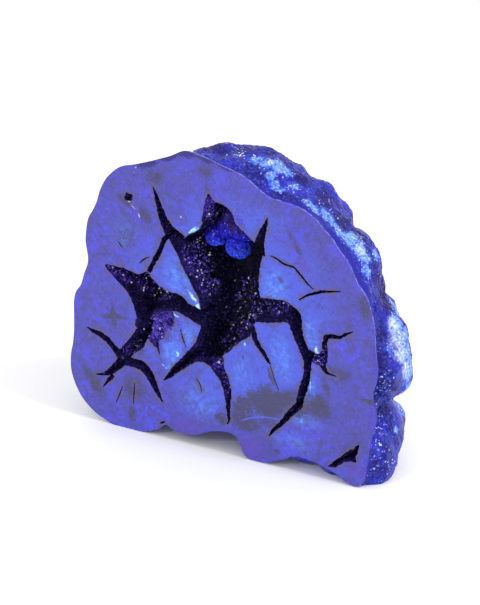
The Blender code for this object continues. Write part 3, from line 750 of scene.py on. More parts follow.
@dataclass
class Nodule:
    """The massive nodule: its rind and sawn face, with the hollows and cracks cut into it."""

    rind: Rind
    cutters: Sequence[Hollow | Scoop | Crack]
    rim_width: float = 1.1
    rind_thickness: float = 1.15  # a surface deeper than this is a wall inside
    ground: float = 0.05
    obj: bpy.types.Object = field(init=False)

    def build(self) -> None:
        """Cuts the hollows and cracks and marks each kind of surface."""
        self.obj = self.rind.build()
        for cutter in self.cutters:
            cut_away(self.obj, cutter.build_cutter())
        self.obj.data.materials.clear()
        self._sort_surfaces()
        self._mark_face()

    def dress(self, finishes: dict[Region, bpy.types.Material]) -> None:
        """Gives each kind of surface its finish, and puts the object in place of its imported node.

        Args:
            finishes: the finish of each kind.
        """
        for region in Region:
            self.obj.data.materials.append(finishes[region])
        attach(self.obj, "root")
        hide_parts("nodule")

    def walls(self) -> tuple[np.ndarray, np.ndarray, np.ndarray]:
        """Finds the triangles of the hollows' and cracks' walls.

        Returns:
            Their corners as table points, shape (n, 3, 3), their normals and their areas.
        """
        mesh = self.obj.data
        mesh.calc_loop_triangles()
        corners = read(mesh.loop_triangles, "vertices", 3, np.int32)
        owner = read(mesh.loop_triangles, "polygon_index", 1, np.int32)[:, 0]
        kinds = read(mesh.polygons, "material_index", 1, np.int32)[:, 0]
        points = positions(mesh)[corners]
        points = points[kinds[owner] == Region.WALL.value]
        cross = np.cross(points[:, 1] - points[:, 0], points[:, 2] - points[:, 0])
        size = np.linalg.norm(cross, axis=1)
        keep = size > 1e-9
        return points[keep], cross[keep] / size[keep, None], size[keep] / 2

    def _sort_surfaces(self) -> None:
        """Sets each polygon's kind: on the sawn face, on the rind, or on a wall inside."""
        mesh = self.obj.data
        middle = unplace(read(mesh.polygons, "center", 3).astype(float))
        facing = read(mesh.polygons, "normal", 3)[:, 1]
        on_face = (np.abs(middle[:, 1]) < FLATNESS) & (facing < -0.99)
        steps = middle - GROWTH_POINT
        size = np.linalg.norm(steps, axis=1)
        gap = self.rind.reach(steps / size[:, None]) - size
        inside = (gap > self.rind_thickness) & (middle[:, 2] > self.ground) & ~on_face
        kinds = np.where(on_face, Region.FACE.value, np.where(inside, Region.WALL.value, Region.RIND.value))
        mesh.polygons.foreach_set("material_index", kinds.astype(np.int32))
        mesh.polygons.foreach_set("use_smooth", np.zeros(len(kinds), bool))

    def _mark_face(self) -> None:
        """Writes how near each vertex is to a hollow's edge, for the face's finish."""
        mesh = self.obj.data
        points = positions(mesh)
        on_wall = np.zeros(len(points), bool)
        for polygon in mesh.polygons:
            if polygon.material_index == Region.WALL.value:
                on_wall[list(polygon.vertices)] = True
        on_plane = np.abs(points[:, 1]) < FLATNESS
        rim = np.flatnonzero(on_wall & on_plane)
        tree = KDTree(len(rim))
        for i in rim:
            tree.insert(points[i], int(i))
        tree.balance()
        nearness = np.zeros(len(points))
        for i in np.flatnonzero(on_plane):
            nearness[i] = max(0.0, 1 - tree.find(points[i])[2] / self.rim_width)
        store(mesh, "rim", nearness)


@dataclass
class Crystals:
    """A crust of small pointed crystals, each sunk by its foot into a wall."""

    name: str
    node: str
    slot: str
    count: int
    size: Point2
    seed: int
    length: Point2 = (0.9, 1.8)  # each crystal's length is this many times its width
    tilt: float = 0.45
    smallness: float = 0.45  # below 1, most crystals are small
    least_thinness: float = 0.45
    belt_height: float = 0.35
    obj: bpy.types.Object = field(init=False)

    def build(self, corners: np.ndarray, normals: np.ndarray, weights: np.ndarray) -> None:
        """Grows the crystals over these triangles, as one mesh.

        Args:
            corners: the triangles' corners, shape (n, 3, 3), in table millimetres.
            normals: their outward normals.
            weights: how likely a crystal is on each, such as its area.
        """
        pick = np.random.default_rng(self.seed)
        chosen = pick.choice(len(weights), self.count, p=weights / weights.sum())
        share = pick.uniform(size=(self.count, 2))
        share[share.sum(1) > 1] = 1 - share[share.sum(1) > 1]
        a, b, c = (corners[chosen, k] for k in range(3))
        seats = a + (b - a) * share[:, :1] + (c - a) * share[:, 1:]
        up = normals[chosen] + pick.normal(size=(self.count, 3)) * self.tilt
        up /= np.linalg.norm(up, axis=1)[:, None]
        points = self._points(seats, up, pick)
        self.obj = make_object(self.name, place_inside(points.reshape(-1, 3)), self._faces(), turn_out=False)
        store(self.obj.data, "shade", np.repeat(pick.uniform(size=self.count), 6))

    def _points(self, seats: np.ndarray, up: np.ndarray, pick: np.random.Generator) -> np.ndarray:
        """Shapes the crystals.

        Args:
            seats: where each one stands.
            up: where it points.
            pick: the source of random numbers.

        Returns:
            Six corners for each crystal: its foot, a flattened ring of four, and its point.
        """
        side = np.cross(up, pick.normal(size=up.shape))
        side /= np.linalg.norm(side, axis=1)[:, None]
        other = np.cross(up, side)
        small, large = self.size
        wide = (small + (large - small) * pick.power(self.smallness, self.count))[:, None]
        thin = wide * pick.uniform(self.least_thinness, 1.0, (self.count, 1))
        tall = wide * pick.uniform(*self.length, (self.count, 1))
        belt = seats + up * tall * self.belt_height
        ring = [belt + side * wide, belt + other * thin, belt - side * wide, belt - other * thin]
        return np.stack([seats - up * wide, *ring, seats + up * tall], 1)

    def _faces(self) -> np.ndarray:
        """Lists the crystals' triangles.

        Returns:
            Eight for each crystal, facing out.
        """
        belt = [(1, 2), (2, 3), (3, 4), (4, 1)]
        one = [(0, b, a) for a, b in belt] + [(5, a, b) for a, b in belt]
        starts = np.arange(self.count)[:, None, None] * 6
        return (np.array(one)[None] + starts).reshape(-1, 3)

    def dress(self, finish: bpy.types.Material) -> None:
        """Gives the crust its finish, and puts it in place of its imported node.

        Args:
            finish: the crystals' finish.
        """
        self.obj.data.materials.append(finish)
        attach(self.obj, "root")
        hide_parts(self.node)


@dataclass
class BlueLumps:
    """The velvety rounded lumps that hang in the top of the main hollow."""

    balls: Sequence[Ball]
    body: float = 0.84
    # how high the knobs on a lump stand, and how many times smaller than the lump they are, coarsest first
    knobs: tuple[Point2, ...] = ((0.17, 1.35), (0.07, 4.2), (0.035, 9.0))
    obj: bpy.types.Object = field(init=False)

    def build(self) -> None:
        """Joins the lumps, each swollen with smaller ones."""
        ball, triangles = icosphere()
        points, faces = [], []
        for n, (*centre, radius) in enumerate(self.balls):
            swell = np.full(len(ball), self.body)
            for (height, scale), seed in zip(self.knobs, (5.0 + n, 6.0, 3.0 + n)):
                swell += height * pebbles(ball, scale, seed)
            points.append(ball * (radius * swell)[:, None] + np.array(centre))
            faces.append(triangles + n * len(ball))
        self.obj = make_object("blue_lumps", place(np.vstack(points)), np.vstack(faces), turn_out=False)

    def dress(self, finish: bpy.types.Material) -> None:
        """Gives the lumps their finish and fixes them to the nodule.

        Args:
            finish: the lumps' finish.
        """
        self.obj.data.materials.append(finish)
        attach(self.obj, "root")


class Signal:
    """A number or vector that a node gives, with the arithmetic that the finishes need."""

    def __init__(self, mix: "Recipe", socket: bpy.types.NodeSocket) -> None:
        """Keeps the node's output and the recipe that it belongs to."""
        self.mix = mix
        self.socket = socket

    def math(self, operation: str, other: "Signal | float" = 0.0) -> "Signal":
        """This number with another, or alone, put through an arithmetic node."""
        return self.mix.add("Math", {"operation": operation}, {0: self, 1: other})

    def __add__(self, other: "Signal | float") -> "Signal":
        """The sum."""
        return self.math("ADD", other)

    def __sub__(self, other: "Signal | float") -> "Signal":
        """The difference."""
        return self.math("SUBTRACT", other)

    def __mul__(self, other: "Signal | float") -> "Signal":
        """The product."""
        return self.math("MULTIPLY", other)

    def most(self, other: "Signal | float") -> "Signal":
        """The larger of the two."""
        return self.math("MAXIMUM", other)

    def span(self, low: float, high: float, start: float = 0.0, end: float = 1.0) -> "Signal":
        """This number's place between low and high, smoothly, from start to end."""
        inputs = {"Value": self, "From Min": low, "From Max": high, "To Min": start, "To Max": end}
        return self.mix.add("MapRange", {"interpolation_type": "SMOOTHSTEP"}, inputs, "Result")

    def vector(
        self, operation: str, other: "Signal | Point3 | None" = None, output: str = "Vector"
    ) -> "Signal":
        """This vector with another, or alone, put through a vector node."""
        inputs = {0: self} if other is None else {0: self, 1: other}
        return self.mix.add("VectorMath", {"operation": operation}, inputs, output)

    def axis(self, number: int) -> "Signal":
        """The vector's x, depth or height, for number 0, 1 or 2."""
        return self.mix.add("SeparateXYZ", {}, {0: self}, number)

    def noise(self, scale: float, detail: float, twist: float = 0.0) -> "Signal":
        """Cloudy noise from 0 to 1 at this point."""
        inputs = {"Vector": self, "Scale": scale, "Detail": detail, "Roughness": 0.6, "Distortion": twist}
        return self.mix.add("TexNoise", {}, inputs, "Fac")

    def cells(self, scale: float, number: int) -> "Signal":
        """The random value from 0 to 1 of the cell that this point is in. Each number gives another value."""
        colour = self.mix.add("TexVoronoi", {}, {"Vector": self, "Scale": scale}, "Color")
        return self.mix.add("SeparateColor", {}, {0: colour}, number)


class Recipe:
    """One material's node tree, built with one short call for each node."""

    def __init__(self, name: str) -> None:
        """Starts a material with only its shader and output.

        Args:
            name: the material's name.
        """
        self.material = bpy.data.materials.new(name)
        self.material.use_nodes = True
        self.nodes = self.material.node_tree.nodes

    def add(self, kind: str, settings: dict, inputs: dict, output: str | int = 0) -> Signal:
        """Adds a node.

        Args:
            kind: the node's type, without its ShaderNode prefix.
            settings: properties of the node, by name.
            inputs: values or signals for its sockets, by name or number.
            output: the output that is wanted.

        Returns:
            That output.
        """
        node = self.nodes.new("ShaderNode" + kind)
        for name, value in settings.items():
            setattr(node, name, value)
        for name, value in inputs.items():
            self.feed(node.inputs[name], value)
        return Signal(self, node.outputs[output])

    def feed(self, socket: bpy.types.NodeSocket, value: object) -> None:
        """Links or sets one socket.

        Args:
            socket: the socket.
            value: a signal, a number, a vector or a colour.
        """
        if isinstance(value, Signal):
            self.material.node_tree.links.new(value.socket, socket)
        elif socket.type == "RGBA":
            socket.default_value = (*value, 1.0)
        else:
            socket.default_value = value

    def place(self) -> Signal:
        """The point being shaded, as (x, depth, height) in table millimetres."""
        inputs = {0: self.add("TexCoord", {}, {}, "Object"), 1: (1 / MM,) * 3, 2: tuple(-TABLE_SHIFT)}
        return self.add("VectorMath", {"operation": "MULTIPLY_ADD"}, inputs)

    def attribute(self, name: str) -> Signal:
        """A number written on the mesh."""
        return self.add("Attribute", {"attribute_name": name}, {}, "Fac")

    def blend(self, share: Signal, first: "Signal | Colour", second: "Signal | Colour") -> Signal:
        """A colour from first to second as share goes from 0 to 1."""
        return self.add("Mix", {"data_type": "RGBA"}, {0: share, 6: first, 7: second}, 2)

    def coat(self, first: Colour, *layers: "tuple[Signal, Signal | Colour]") -> "Signal | Colour":
        """Lays colours over each other.

        Args:
            first: the colour underneath.
            layers: how much each further colour covers, and that colour.

        Returns:
            The colour that shows.
        """
        colour: Signal | Colour = first
        for share, cover in layers:
            colour = self.blend(share, colour, cover)
        return colour

    def patch(self, where: Signal, spot: "Spot") -> Signal:
        """Shows one soft oval patch of the sawn face.

        Args:
            where: the point being shaded.
            spot: the patch.

        Returns:
            From 0 outside the patch to its strength inside.
        """
        centred = where.vector("SUBTRACT", (spot.x, 0.0, spot.height))
        inputs = {"Vector": centred, "Angle": math.radians(spot.turn)}
        turned = self.add("VectorRotate", {"rotation_type": "Y_AXIS"}, inputs)
        scaled = turned.vector("MULTIPLY", (1 / spot.half_width, 0.0, 1 / spot.half_height))
        return scaled.vector("LENGTH", output="Value").span(1.15, 0.25, 0.0, spot.strength)

    def patches(self, where: Signal, spots: Iterable["Spot"]) -> Signal:
        """The strongest of these patches at the point."""
        return reduce(Signal.most, [self.patch(where, spot) for spot in spots])

    def balls(self, where: Signal, spots: Iterable[Ball]) -> Signal:
        """Shows some soft balls.

        Args:
            where: the point being shaded.
            spots: the balls.

        Returns:
            From 0 outside them all to 1 inside any.
        """
        shares = []
        for *centre, radius in spots:
            reach = where.vector("DISTANCE", tuple(centre), "Value")
            shares.append(reach.span(radius * 1.2, radius * 0.3))
        return reduce(Signal.most, shares)

    def bump(self, height: Signal, strength: float, distance: float, under: Signal | None = None) -> Signal:
        """Bumps the surface.

        Args:
            height: how high it stands.
            strength: how strongly that shows.
            distance: the height for a value of 1, in millimetres.
            under: the bumps that these lie on, where there are others.

        Returns:
            The normal.
        """
        inputs: dict[str, object] = {"Height": height, "Strength": strength, "Distance": distance * MM}
        if under is not None:
            inputs["Normal"] = under
        return self.add("Bump", {}, inputs)

    def finish(self, **sockets: object) -> bpy.types.Material:
        """Completes the material.

        Args:
            sockets: the shader's sockets, with _ for a space in their names.

        Returns:
            The material.
        """
        for name, value in sockets.items():
            self.feed(self.nodes["Principled BSDF"].inputs[name.replace("_", " ")], value)
        return self.material


@dataclass(frozen=True)
class Spot:
    """A soft oval patch on the sawn face. turn is in degrees, counter-clockwise."""

    x: float
    height: float
    half_width: float
    half_height: float
    turn: float
    strength: float


def spots(*rows: tuple[float, ...]) -> tuple[Spot, ...]:
    """Soft patches from rows of their six numbers."""
    return tuple(Spot(*row) for row in rows)


@dataclass(frozen=True)
class SawnStone:
    """The sawn face: matt violet-blue azurite, bluer near the hollows, with chips, grey-brown stains and a few
    painted glints.
    """

    violet: Colour = (0.086, 0.080, 0.655)
    dull: Colour = (0.080, 0.074, 0.35)
    blue: Colour = (0.080, 0.120, 0.70)
    dim: Colour = (0.042, 0.038, 0.26)
    sky: Colour = (0.11, 0.29, 0.92)
    bright: Colour = (0.12, 0.135, 0.88)
    stain: Colour = (0.060, 0.057, 0.115)
    olive: Colour = (0.056, 0.054, 0.075)
    cyan: Colour = (0.17, 0.43, 0.92)
    white: Colour = (0.55, 0.80, 0.98)
    lilac: Colour = (0.068, 0.036, 0.46)
    navy: Colour = (0.030, 0.020, 0.17)
    # painted glint colour: pale grey-white
    painted_glint: Colour = (0.62, 0.60, 0.62)
    dust: Colour = (0.45, 0.46, 0.72)
    border: Colour = (0.105, 0.085, 0.17)
    plum: Colour = (0.115, 0.060, 0.44)
    centre: Point3 = (-1.0, 0.0, 28.0)
    arc_centre: Point3 = (9.0, 0.0, -4.3)
    arc_radius: float = 13.8
    stains: tuple[Spot, ...] = spots(
        (2.4, 10.6, 4.2, 3.2, 20, 0.75), (7.2, 12.2, 5.6, 4.2, 10, 1), (12.2, 13.3, 4.8, 3.5, 0, 0.9),
        (16.6, 13.8, 3.8, 3.4, 0, 0.75), (2.4, 7.6, 4.8, 3, 0, 0.65), (7, 8.6, 3.4, 1.8, 0, 0.55),
        (-2, 6.8, 2, 1.6, 0, 0.8), (8.9, 3.1, 0.8, 0.6, 0, 0.7), (20.2, 20.8, 4, 2.6, 15, 0.55),
        (18.6, 17.8, 1.1, 2.6, 20, 0.6), (27, 17.2, 2.6, 0.8, 0, 0.8), (25.6, 34.6, 2.2, 3.4, 15, 0.55),
        (-17.5, 43, 1.6, 2.9, 26, 0.6), (-21.6, 45, 2.4, 1, -32, 0.8), (-15.6, 50.2, 3.2, 2.2, 0, 0.5),
        (-5.4, 53.4, 2.2, 1.8, 0, 0.5), (-4.8, 50, 0.4, 1.5, 20, 0.8), (-24.5, 21.9, 3.8, 0.8, 6, 0.7),
        (-24.5, 21.9, 0.9, 3.6, 6, 0.65), (-28.9, 7.6, 1.7, 5.4, 36, 0.6), (-20.6, 8.6, 3.4, 3.8, 0, 0.6),
        (-21, 3.2, 1.2, 2.4, 0, 0.6), (-19, 16.4, 1.3, 1.6, 0, 0.6), (12, 43.6, 0.8, 3.8, 32, 0.45),
        (9.6, 36, 0.5, 2.2, 38, 0.5), (2.1, 19.9, 0.4, 0.6, 0, 0.6), (7.7, 17.5, 0.6, 2.6, 23, 0.8),
        (10.6, 18.6, 1, 1.3, 0, 0.35), (-22, 38, 4, 3.6, -30, 0.35), (23, 6, 3, 3.2, 0, 0.4),
    )
    streaks: tuple[Spot, ...] = spots(
        (-10.8, 32.5, 3.6, 4.6, 35, 0.9), (-12.4, 17.2, 2.6, 5, 0, 0.85), (-8.6, 21.6, 2.4, 2.8, 0, 0.8),
        (2, 16.5, 2.6, 4.8, 0, 0.45), (9.8, 21.5, 2.8, 5.6, 10, 0.7), (15.2, 27.2, 3, 3.4, 0, 0.7),
        (8.2, 34.4, 3.2, 4.2, 0, 0.75), (-7, 9.5, 5.4, 4.4, 0, 0.5), (15.4, 16.9, 1.2, 3.2, 0, 0.7),
        (14.4, 10.4, 3.8, 1.7, 0, 0.8), (-22, 38.5, 4, 4, 0, 0.3), (12.2, 5.9, 6, 2.6, 0, 0.3),
    )
    fringes: tuple[Spot, ...] = spots(
        (-13.8, 20.6, 2.4, 2.2, 0, 0.9), (-15.3, 18.2, 1.3, 2.4, 0, 0.8), (-11.6, 23.8, 1.8, 1.2, 0, 0.7),
        (-10.5, 21.6, 0.8, 2, 0, 0.6), (-4.4, 48.9, 1.4, 1.6, 0, 0.6), (27.6, 25, 1.1, 6, 3, 0.5),
        (27.4, 14, 1.3, 6, -2, 0.5), (26.6, 4.4, 1.4, 4.4, -8, 0.5), (1.4, 45.4, 1.2, 2.2, 30, 0.7),
    )
    top_edge: tuple[Spot, ...] = spots(
        (-17, 52.9, 3, 1.5, 16, 1), (-12.6, 54.9, 3.2, 1.3, 24, 1), (-9, 56.3, 3.4, 1.6, 6, 1),
        (-5.2, 56, 2.8, 1.5, -12, 1), (-1.4, 55.1, 2.6, 1.2, -14, 0.9),
    )
    chips: tuple[Spot, ...] = spots(
        (-7.6, 42.1, 2.2, 0.5, 38, 1), (-7.9, 29.2, 0.5, 2.2, 42, 0.9), (-7, 27.8, 0.6, 0.8, 40, 1),
        (16.6, 24.6, 0.6, 0.9, 0, 1), (15.4, 17.6, 0.3, 1.3, 0, 0.9), (-11.8, 25, 1.4, 0.35, -12, 0.9),
        (-11.2, 17.5, 0.4, 1.1, 0, 0.9), (-14, 14.5, 1, 0.25, -28, 0.8), (-10.9, 9.2, 1.2, 0.25, -50, 0.4),
        (2.5, 22.5, 0.3, 0.5, 0, 0.9),
    )
    # painted glints: tiny pale spots of reflected light at the pits and edges
    painted_glint_spots: tuple[Spot, ...] = spots(
        (-20.7, 44.9, 0.32, 0.2, 0, 0.9), (-19.9, 44, 0.8, 0.11, -40, 0.6),
        (-18.7, 42.6, 0.17, 0.5, 25, 0.8), (-10.2, 44, 0.2, 0.22, 0, 0.9), (-19.2, 51.5, 0.2, 0.18, 0, 0.7),
        (-18.2, 31.3, 0.3, 0.3, 0, 0.7), (-0.7, 3.6, 0.5, 0.3, 0, 0.7),
    )
    plums: tuple[Spot, ...] = spots(
        (3.8, 2.4, 3.6, 2.8, 0, 0.55), (13.9, 39.6, 1, 1.8, 30, 0.5), (24, 3.4, 2.6, 1.8, 0, 0.5),
        (-9, 3.2, 4, 2.2, 0, 0.5),
    )

    def build(self) -> bpy.types.Material:
        """Mixes the finish.

        Returns:
            The material.
        """
        mix = Recipe("sawn_azurite")
        here = mix.place()
        cloud, middling, fine = here.noise(0.11, 3, 0.8), here.noise(0.42, 6, 1.4), here.noise(1.5, 6, 0.6)
        pores = here.noise(3.4, 4)
        apart = here.vector("SUBTRACT", self.centre)
        reach = apart.vector("LENGTH", output="Value")
        inner = (reach + cloud.span(0.2, 0.8, -5, 5)).span(23, 14)
        fringed = mix.patches(here, self.fringes) + pores.span(0.35, 0.65, -0.4, 0.3)
        topped = mix.patches(here, self.top_edge) + pores.span(0.35, 0.65, -0.35, 0.25)
        chips = mix.patches(here, self.chips)
        crumbled = chips + fine.span(0.35, 0.65, -0.5, 0.4)
        chipped = crumbled.span(0.2, 0.85) * chips.span(0, 0.2)
        base = mix.coat(
            self.dull,
            (middling.span(0.40, 0.62), self.violet),
            (cloud.span(0.55, 0.42, 0, 0.6), self.dull),
            (inner * 0.8, self.blue),
            (here.noise(0.7, 7, 1.8).span(0.50, 0.68, 0, 0.42), self.dim),
            (fine.span(0.52, 0.72, 0, 0.28), self.dim),
            (fine.span(0.46, 0.28, 0, 0.45), self.bright),
            (mix.patches(here, self.plums), self.plum),
            (self._streaks(here, apart, reach), self.sky),
            (fringed.span(0.30, 0.70, 0, 0.85), self.lilac),
            (topped.span(0.25, 0.55, 0, 0.85), self.navy),
            (self._stains(here, middling, pores), mix.blend(fine.span(0.42, 0.66), self.stain, self.olive)),
            (pores.span(0.66, 0.74, 0, 0.7), self.olive),
            (here.noise(4.3, 2).span(0.70, 0.76, 0, 0.8), self.dust),
            (self._border(here, pores), self.border),
            (self._arc(here), self.bright),
            (chipped, mix.blend(crumbled.span(0.75, 1.2), self.cyan, self.white)),
            # painted glints
            (mix.patches(here, self.painted_glint_spots), self.painted_glint),
        )
        normal = mix.bump(middling, 0.3, 0.3, mix.bump(here.noise(5, 6), 0.5, 0.1))
        return mix.finish(Base_Color=base, Roughness=0.6, Normal=normal, Specular_IOR_Level=0.3)

    def _streaks(self, here: Signal, apart: Signal, reach: Signal) -> Signal:
        """Draws fibres that fan out from the main hollow, where the stone is bluest.

        Args:
            here: the point being shaded.
            apart: its step from the fan's centre.
            reach: the length of that step.

        Returns:
            How strongly they show.
        """
        angle = apart.axis(0).math("ARCTAN2", apart.axis(2))
        fan = here.mix.add("CombineXYZ", {}, {0: angle * 9, 1: reach * 0.3})
        fibres = fan.noise(1.3, 7, 1.5).span(0.44, 0.62)
        clumps = here.noise(0.5, 4, 1).span(0.30, 0.56)
        return (fibres * 0.75 + 0.3) * (here.mix.patches(here, self.streaks) * clumps)

    def _stains(self, here: Signal, middling: Signal, pores: Signal) -> Signal:
        """Draws grey-brown stains with broken, speckled borders, and a few faint ones elsewhere.

        Args:
            here: the point being shaded.
            middling: middling noise.
            pores: the finest noise.

        Returns:
            How strongly they show.
        """
        ragged = middling.span(0.3, 0.7, -0.3, 0.3) + pores.span(0.3, 0.7, -0.25, 0.25)
        patches = here.mix.patches(here, self.stains)
        inside = (patches + ragged).span(0.1, 0.75) * patches.span(0, 0.25)
        clouds = here.noise(0.2, 6, 1.4).span(0.52, 0.72, 0, 0.45)
        return inside.most(clouds) * pores.span(0.30, 0.55, 0.74, 0.93)

    def _border(self, here: Signal, pores: Signal) -> Signal:
        """The grey-brown specks along the hollows' and cracks' edges, wider in some places."""
        near = here.mix.attribute("rim") + here.noise(0.5, 3).span(0.35, 0.65, -0.5, 0.25)
        return (near + pores.span(0.3, 0.7, -0.35, 0.35)).span(0.52, 0.74, 0, 0.8)

    def _arc(self, here: Signal) -> Signal:
        """Draws a thin pale line, curved like a growth band, through the lower stain.

        Args:
            here: the point being shaded.

        Returns:
            How strongly it shows.
        """
        off = (here.vector("DISTANCE", self.arc_centre, "Value") - self.arc_radius).math("ABSOLUTE")
        along = here.axis(0).span(1, 2.5) * here.axis(0).span(10, 9)
        return off.span(0.22, 0.05, 0, 0.55) * along


@dataclass(frozen=True)
class RindStone:
    """The rind: deep violet-blue and sugary, smooth behind the sawn edge, with painted highlights in sky blue
    and near-white where the light falls, painted shade on its darkest lobes, painted glints, and a painted
    pale line along that edge.
    """

    deep: Colour = (0.013, 0.007, 0.13)
    royal: Colour = (0.030, 0.022, 0.42)
    azure: Colour = (0.040, 0.11, 0.68)
    # painted highlight colour, sky blue, also used in the painted glints
    sky: Colour = (0.20, 0.38, 0.88)
    # painted highlight and glint colour, near-white
    highlight_white: Colour = (0.66, 0.74, 0.97)
    # painted glint colour, lavender-white
    glint_lavender: Colour = (0.50, 0.47, 0.86)
    band: Colour = (0.021, 0.018, 0.32)
    # painted highlight: a pale line along the sawn edge, where the edge catches the light
    edge: Colour = (0.24, 0.24, 0.74)
    # painted highlights: where the light falls on the ridge, the crest and the right side
    bright: tuple[Ball, ...] = (
        # the ridge behind the right edge
        (11.8, 4.8, 49.1, 1.3), (13.6, 4.7, 48.4, 1.5), (14.7, 6.3, 47, 1.8), (16.3, 6.7, 45.9, 2),
        (18, 5.9, 44.9, 2), (19.2, 7, 43.4, 2.2), (20.5, 7.2, 41.9, 2.2), (21.9, 7.1, 40.6, 2),
        (22.8, 6.1, 38.9, 1.5), (23.2, 6.1, 37.9, 1.1), (22.2, 10.7, 39.7, 1.5), (18.3, 15.8, 39.2, 1.8),
        # the crest
        (0.3, 8.2, 54, 1.7), (3, 7.4, 53.8, 2), (4.6, 8, 53.4, 2.1), (5.9, 9, 52.4, 1.5),
        (4.3, 5.9, 52.3, 1.3), (5.3, 5.5, 51, 1.4), (6.5, 5.3, 50.4, 1.1),
        # the right side
        (25.1, 11.8, 29.4, 2.6), (27.1, 9.2, 28.4, 2.8), (28.8, 9.2, 26.5, 3), (29.4, 9.5, 23.6, 3.2),
        (29.4, 9.7, 19.6, 3), (28.8, 9.5, 16.4, 1.8), (27.9, 6, 25.2, 1.2), (25.8, 14.7, 9.5, 2.2),
        (28.1, 7.9, 8.6, 1),
    )
    # painted highlights: near-white where the light falls hardest
    highlight_patches: tuple[Ball, ...] = (
        (27.1, 8.2, 28.4, 1.7), (27.9, 8.2, 26, 2.1), (28.7, 8, 23.4, 2.1), (29.4, 8.2, 20.8, 1.7),
        (21, 7.4, 41.6, 1.2), (3.2, 7.6, 53.7, 1),
    )
    shaded: tuple[Ball, ...] = (
        (13.2, 10, 48.2, 3), (16.4, 9.4, 45.6, 2.4), (23.8, 10.4, 33.8, 3.2), (25.4, 9.2, 31.6, 3),
        (26.6, 3.2, 23.7, 1.8), (-8.6, 9, 53.6, 3.4), (8.9, 9.6, 51.6, 2.2), (24.3, 9.2, 36.4, 2.6),
        (19.6, 10.6, 43.6, 2.2), (-3, 10.5, 54.2, 2.6), (26, 10.5, 6, 4), (22.4, 14, 12, 4),
    )
    # where painted glints cluster
    glint_clusters: tuple[Ball, ...] = (
        (13.7, 7.9, 49.2, 1.8), (15.9, 7.7, 48, 1.8), (17.4, 8.2, 46.8, 2), (-12, 6, 54, 3),
        (-4, 8, 54.5, 3.4), (26.5, 3, 11, 4.5), (28, 2.5, 26, 2.4), (20.5, 9, 43, 2.4),
        (26.9, 2.4, 20, 3.2), (3.7, 8, 53, 3), (8, 7, 51, 2.6), (27.5, 3, 4.5, 3.6),
    )

    def build(self) -> bpy.types.Material:
        """Mixes the finish.

        Returns:
            The material.
        """
        mix = Recipe("azurite_rind")
        here = mix.place()
        cloud, fine = here.noise(0.2, 5, 0.5), here.noise(1.3, 6)
        cell, speck = here.cells(3, 0), here.cells(4.5, 1)
        coarse, plate = here.cells(1.5, 2), here.cells(2.5, 1)
        # painted highlights: lit is high on the bright balls, where the light falls, and in random paler
        # clouds; the azure and sky-blue layers follow it
        lit = mix.balls(here, self.bright).most(cloud.span(0.60, 0.74, 0, 0.75))
        ragged = lit + fine.span(0.3, 0.7, -0.28, 0.28) + coarse.span(0, 1, -0.30, 0.16)
        shade = mix.balls(here, self.shaded) * fine.span(0.3, 0.55, 0.55, 1)
        sheen_and_mottle = ragged.span(0.45, 1) * cell.span(0, 1, 0.4, 1)
        sugar = fine.span(0.36, 0.60, 0.4, 1) * cell.span(0.05, 0.75, 0.25, 1)
        # painted glints: more of them in these clusters and on the lit balls
        clusters = mix.balls(here, self.glint_clusters) * here.noise(0.8, 4).span(0.42, 0.64)
        glint_boost = (lit * 0.14).most(clusters * 0.16)
        behind = self._behind(here)
        # painted edge highlight: a thin pale line just behind the sawn edge, stronger higher up
        edge = (here.axis(1) + fine.span(0.3, 0.7, -0.22, 0.22)).span(0.34, 0.1)
        base = mix.coat(
            self.deep,
            (cloud.span(0.36, 0.60), self.royal),
            (fine.span(0.48, 0.66, 0, 0.7), self.deep),
            (cell.span(0.5, 1, 0, 0.45), self.azure),
            (ragged.span(0.10, 0.65, 0, 0.85), self.azure),
            (sheen_and_mottle, self.sky),
            (shade * 0.92, self.deep),
            (mix.balls(here, self.highlight_patches) * sugar, self.highlight_white),
            # painted glints: larger lavender ones, then fine sky-blue to white ones
            ((plate + clusters * 0.14).span(0.99, 1.03, 0, 0.75), self.glint_lavender),
            ((speck + glint_boost).span(0.98, 1.02) * 0.9, mix.blend(cell, self.sky, self.highlight_white)),
            (behind.span(0.35, -0.35, 0, 0.94), self.band),
            (edge * here.axis(2).span(20, 34, 0.15, 0.8), self.edge),
        )
        rough = behind.span(-0.4, 0.4, 0.6, 0.32)
        facets = mix.bump(cell, 0.5, 0.08)
        return mix.finish(Base_Color=base, Roughness=rough, Normal=facets, Specular_IOR_Level=0.13)

    def _behind(self, here: Signal) -> Signal:
        """Finds how far the point lies behind the smooth band, which is widest at the upper right.

        Args:
            here: the point being shaded.

        Returns:
            That depth, which is below 0 on the band.
        """
        wander = here.noise(0.25, 3).span(0.3, 0.7, 0.2, 1.2)
        extra = here.axis(0).span(-4, 11) * here.axis(2).span(20, 33, 0, 3.7)
        return here.axis(1) - (wander + extra)


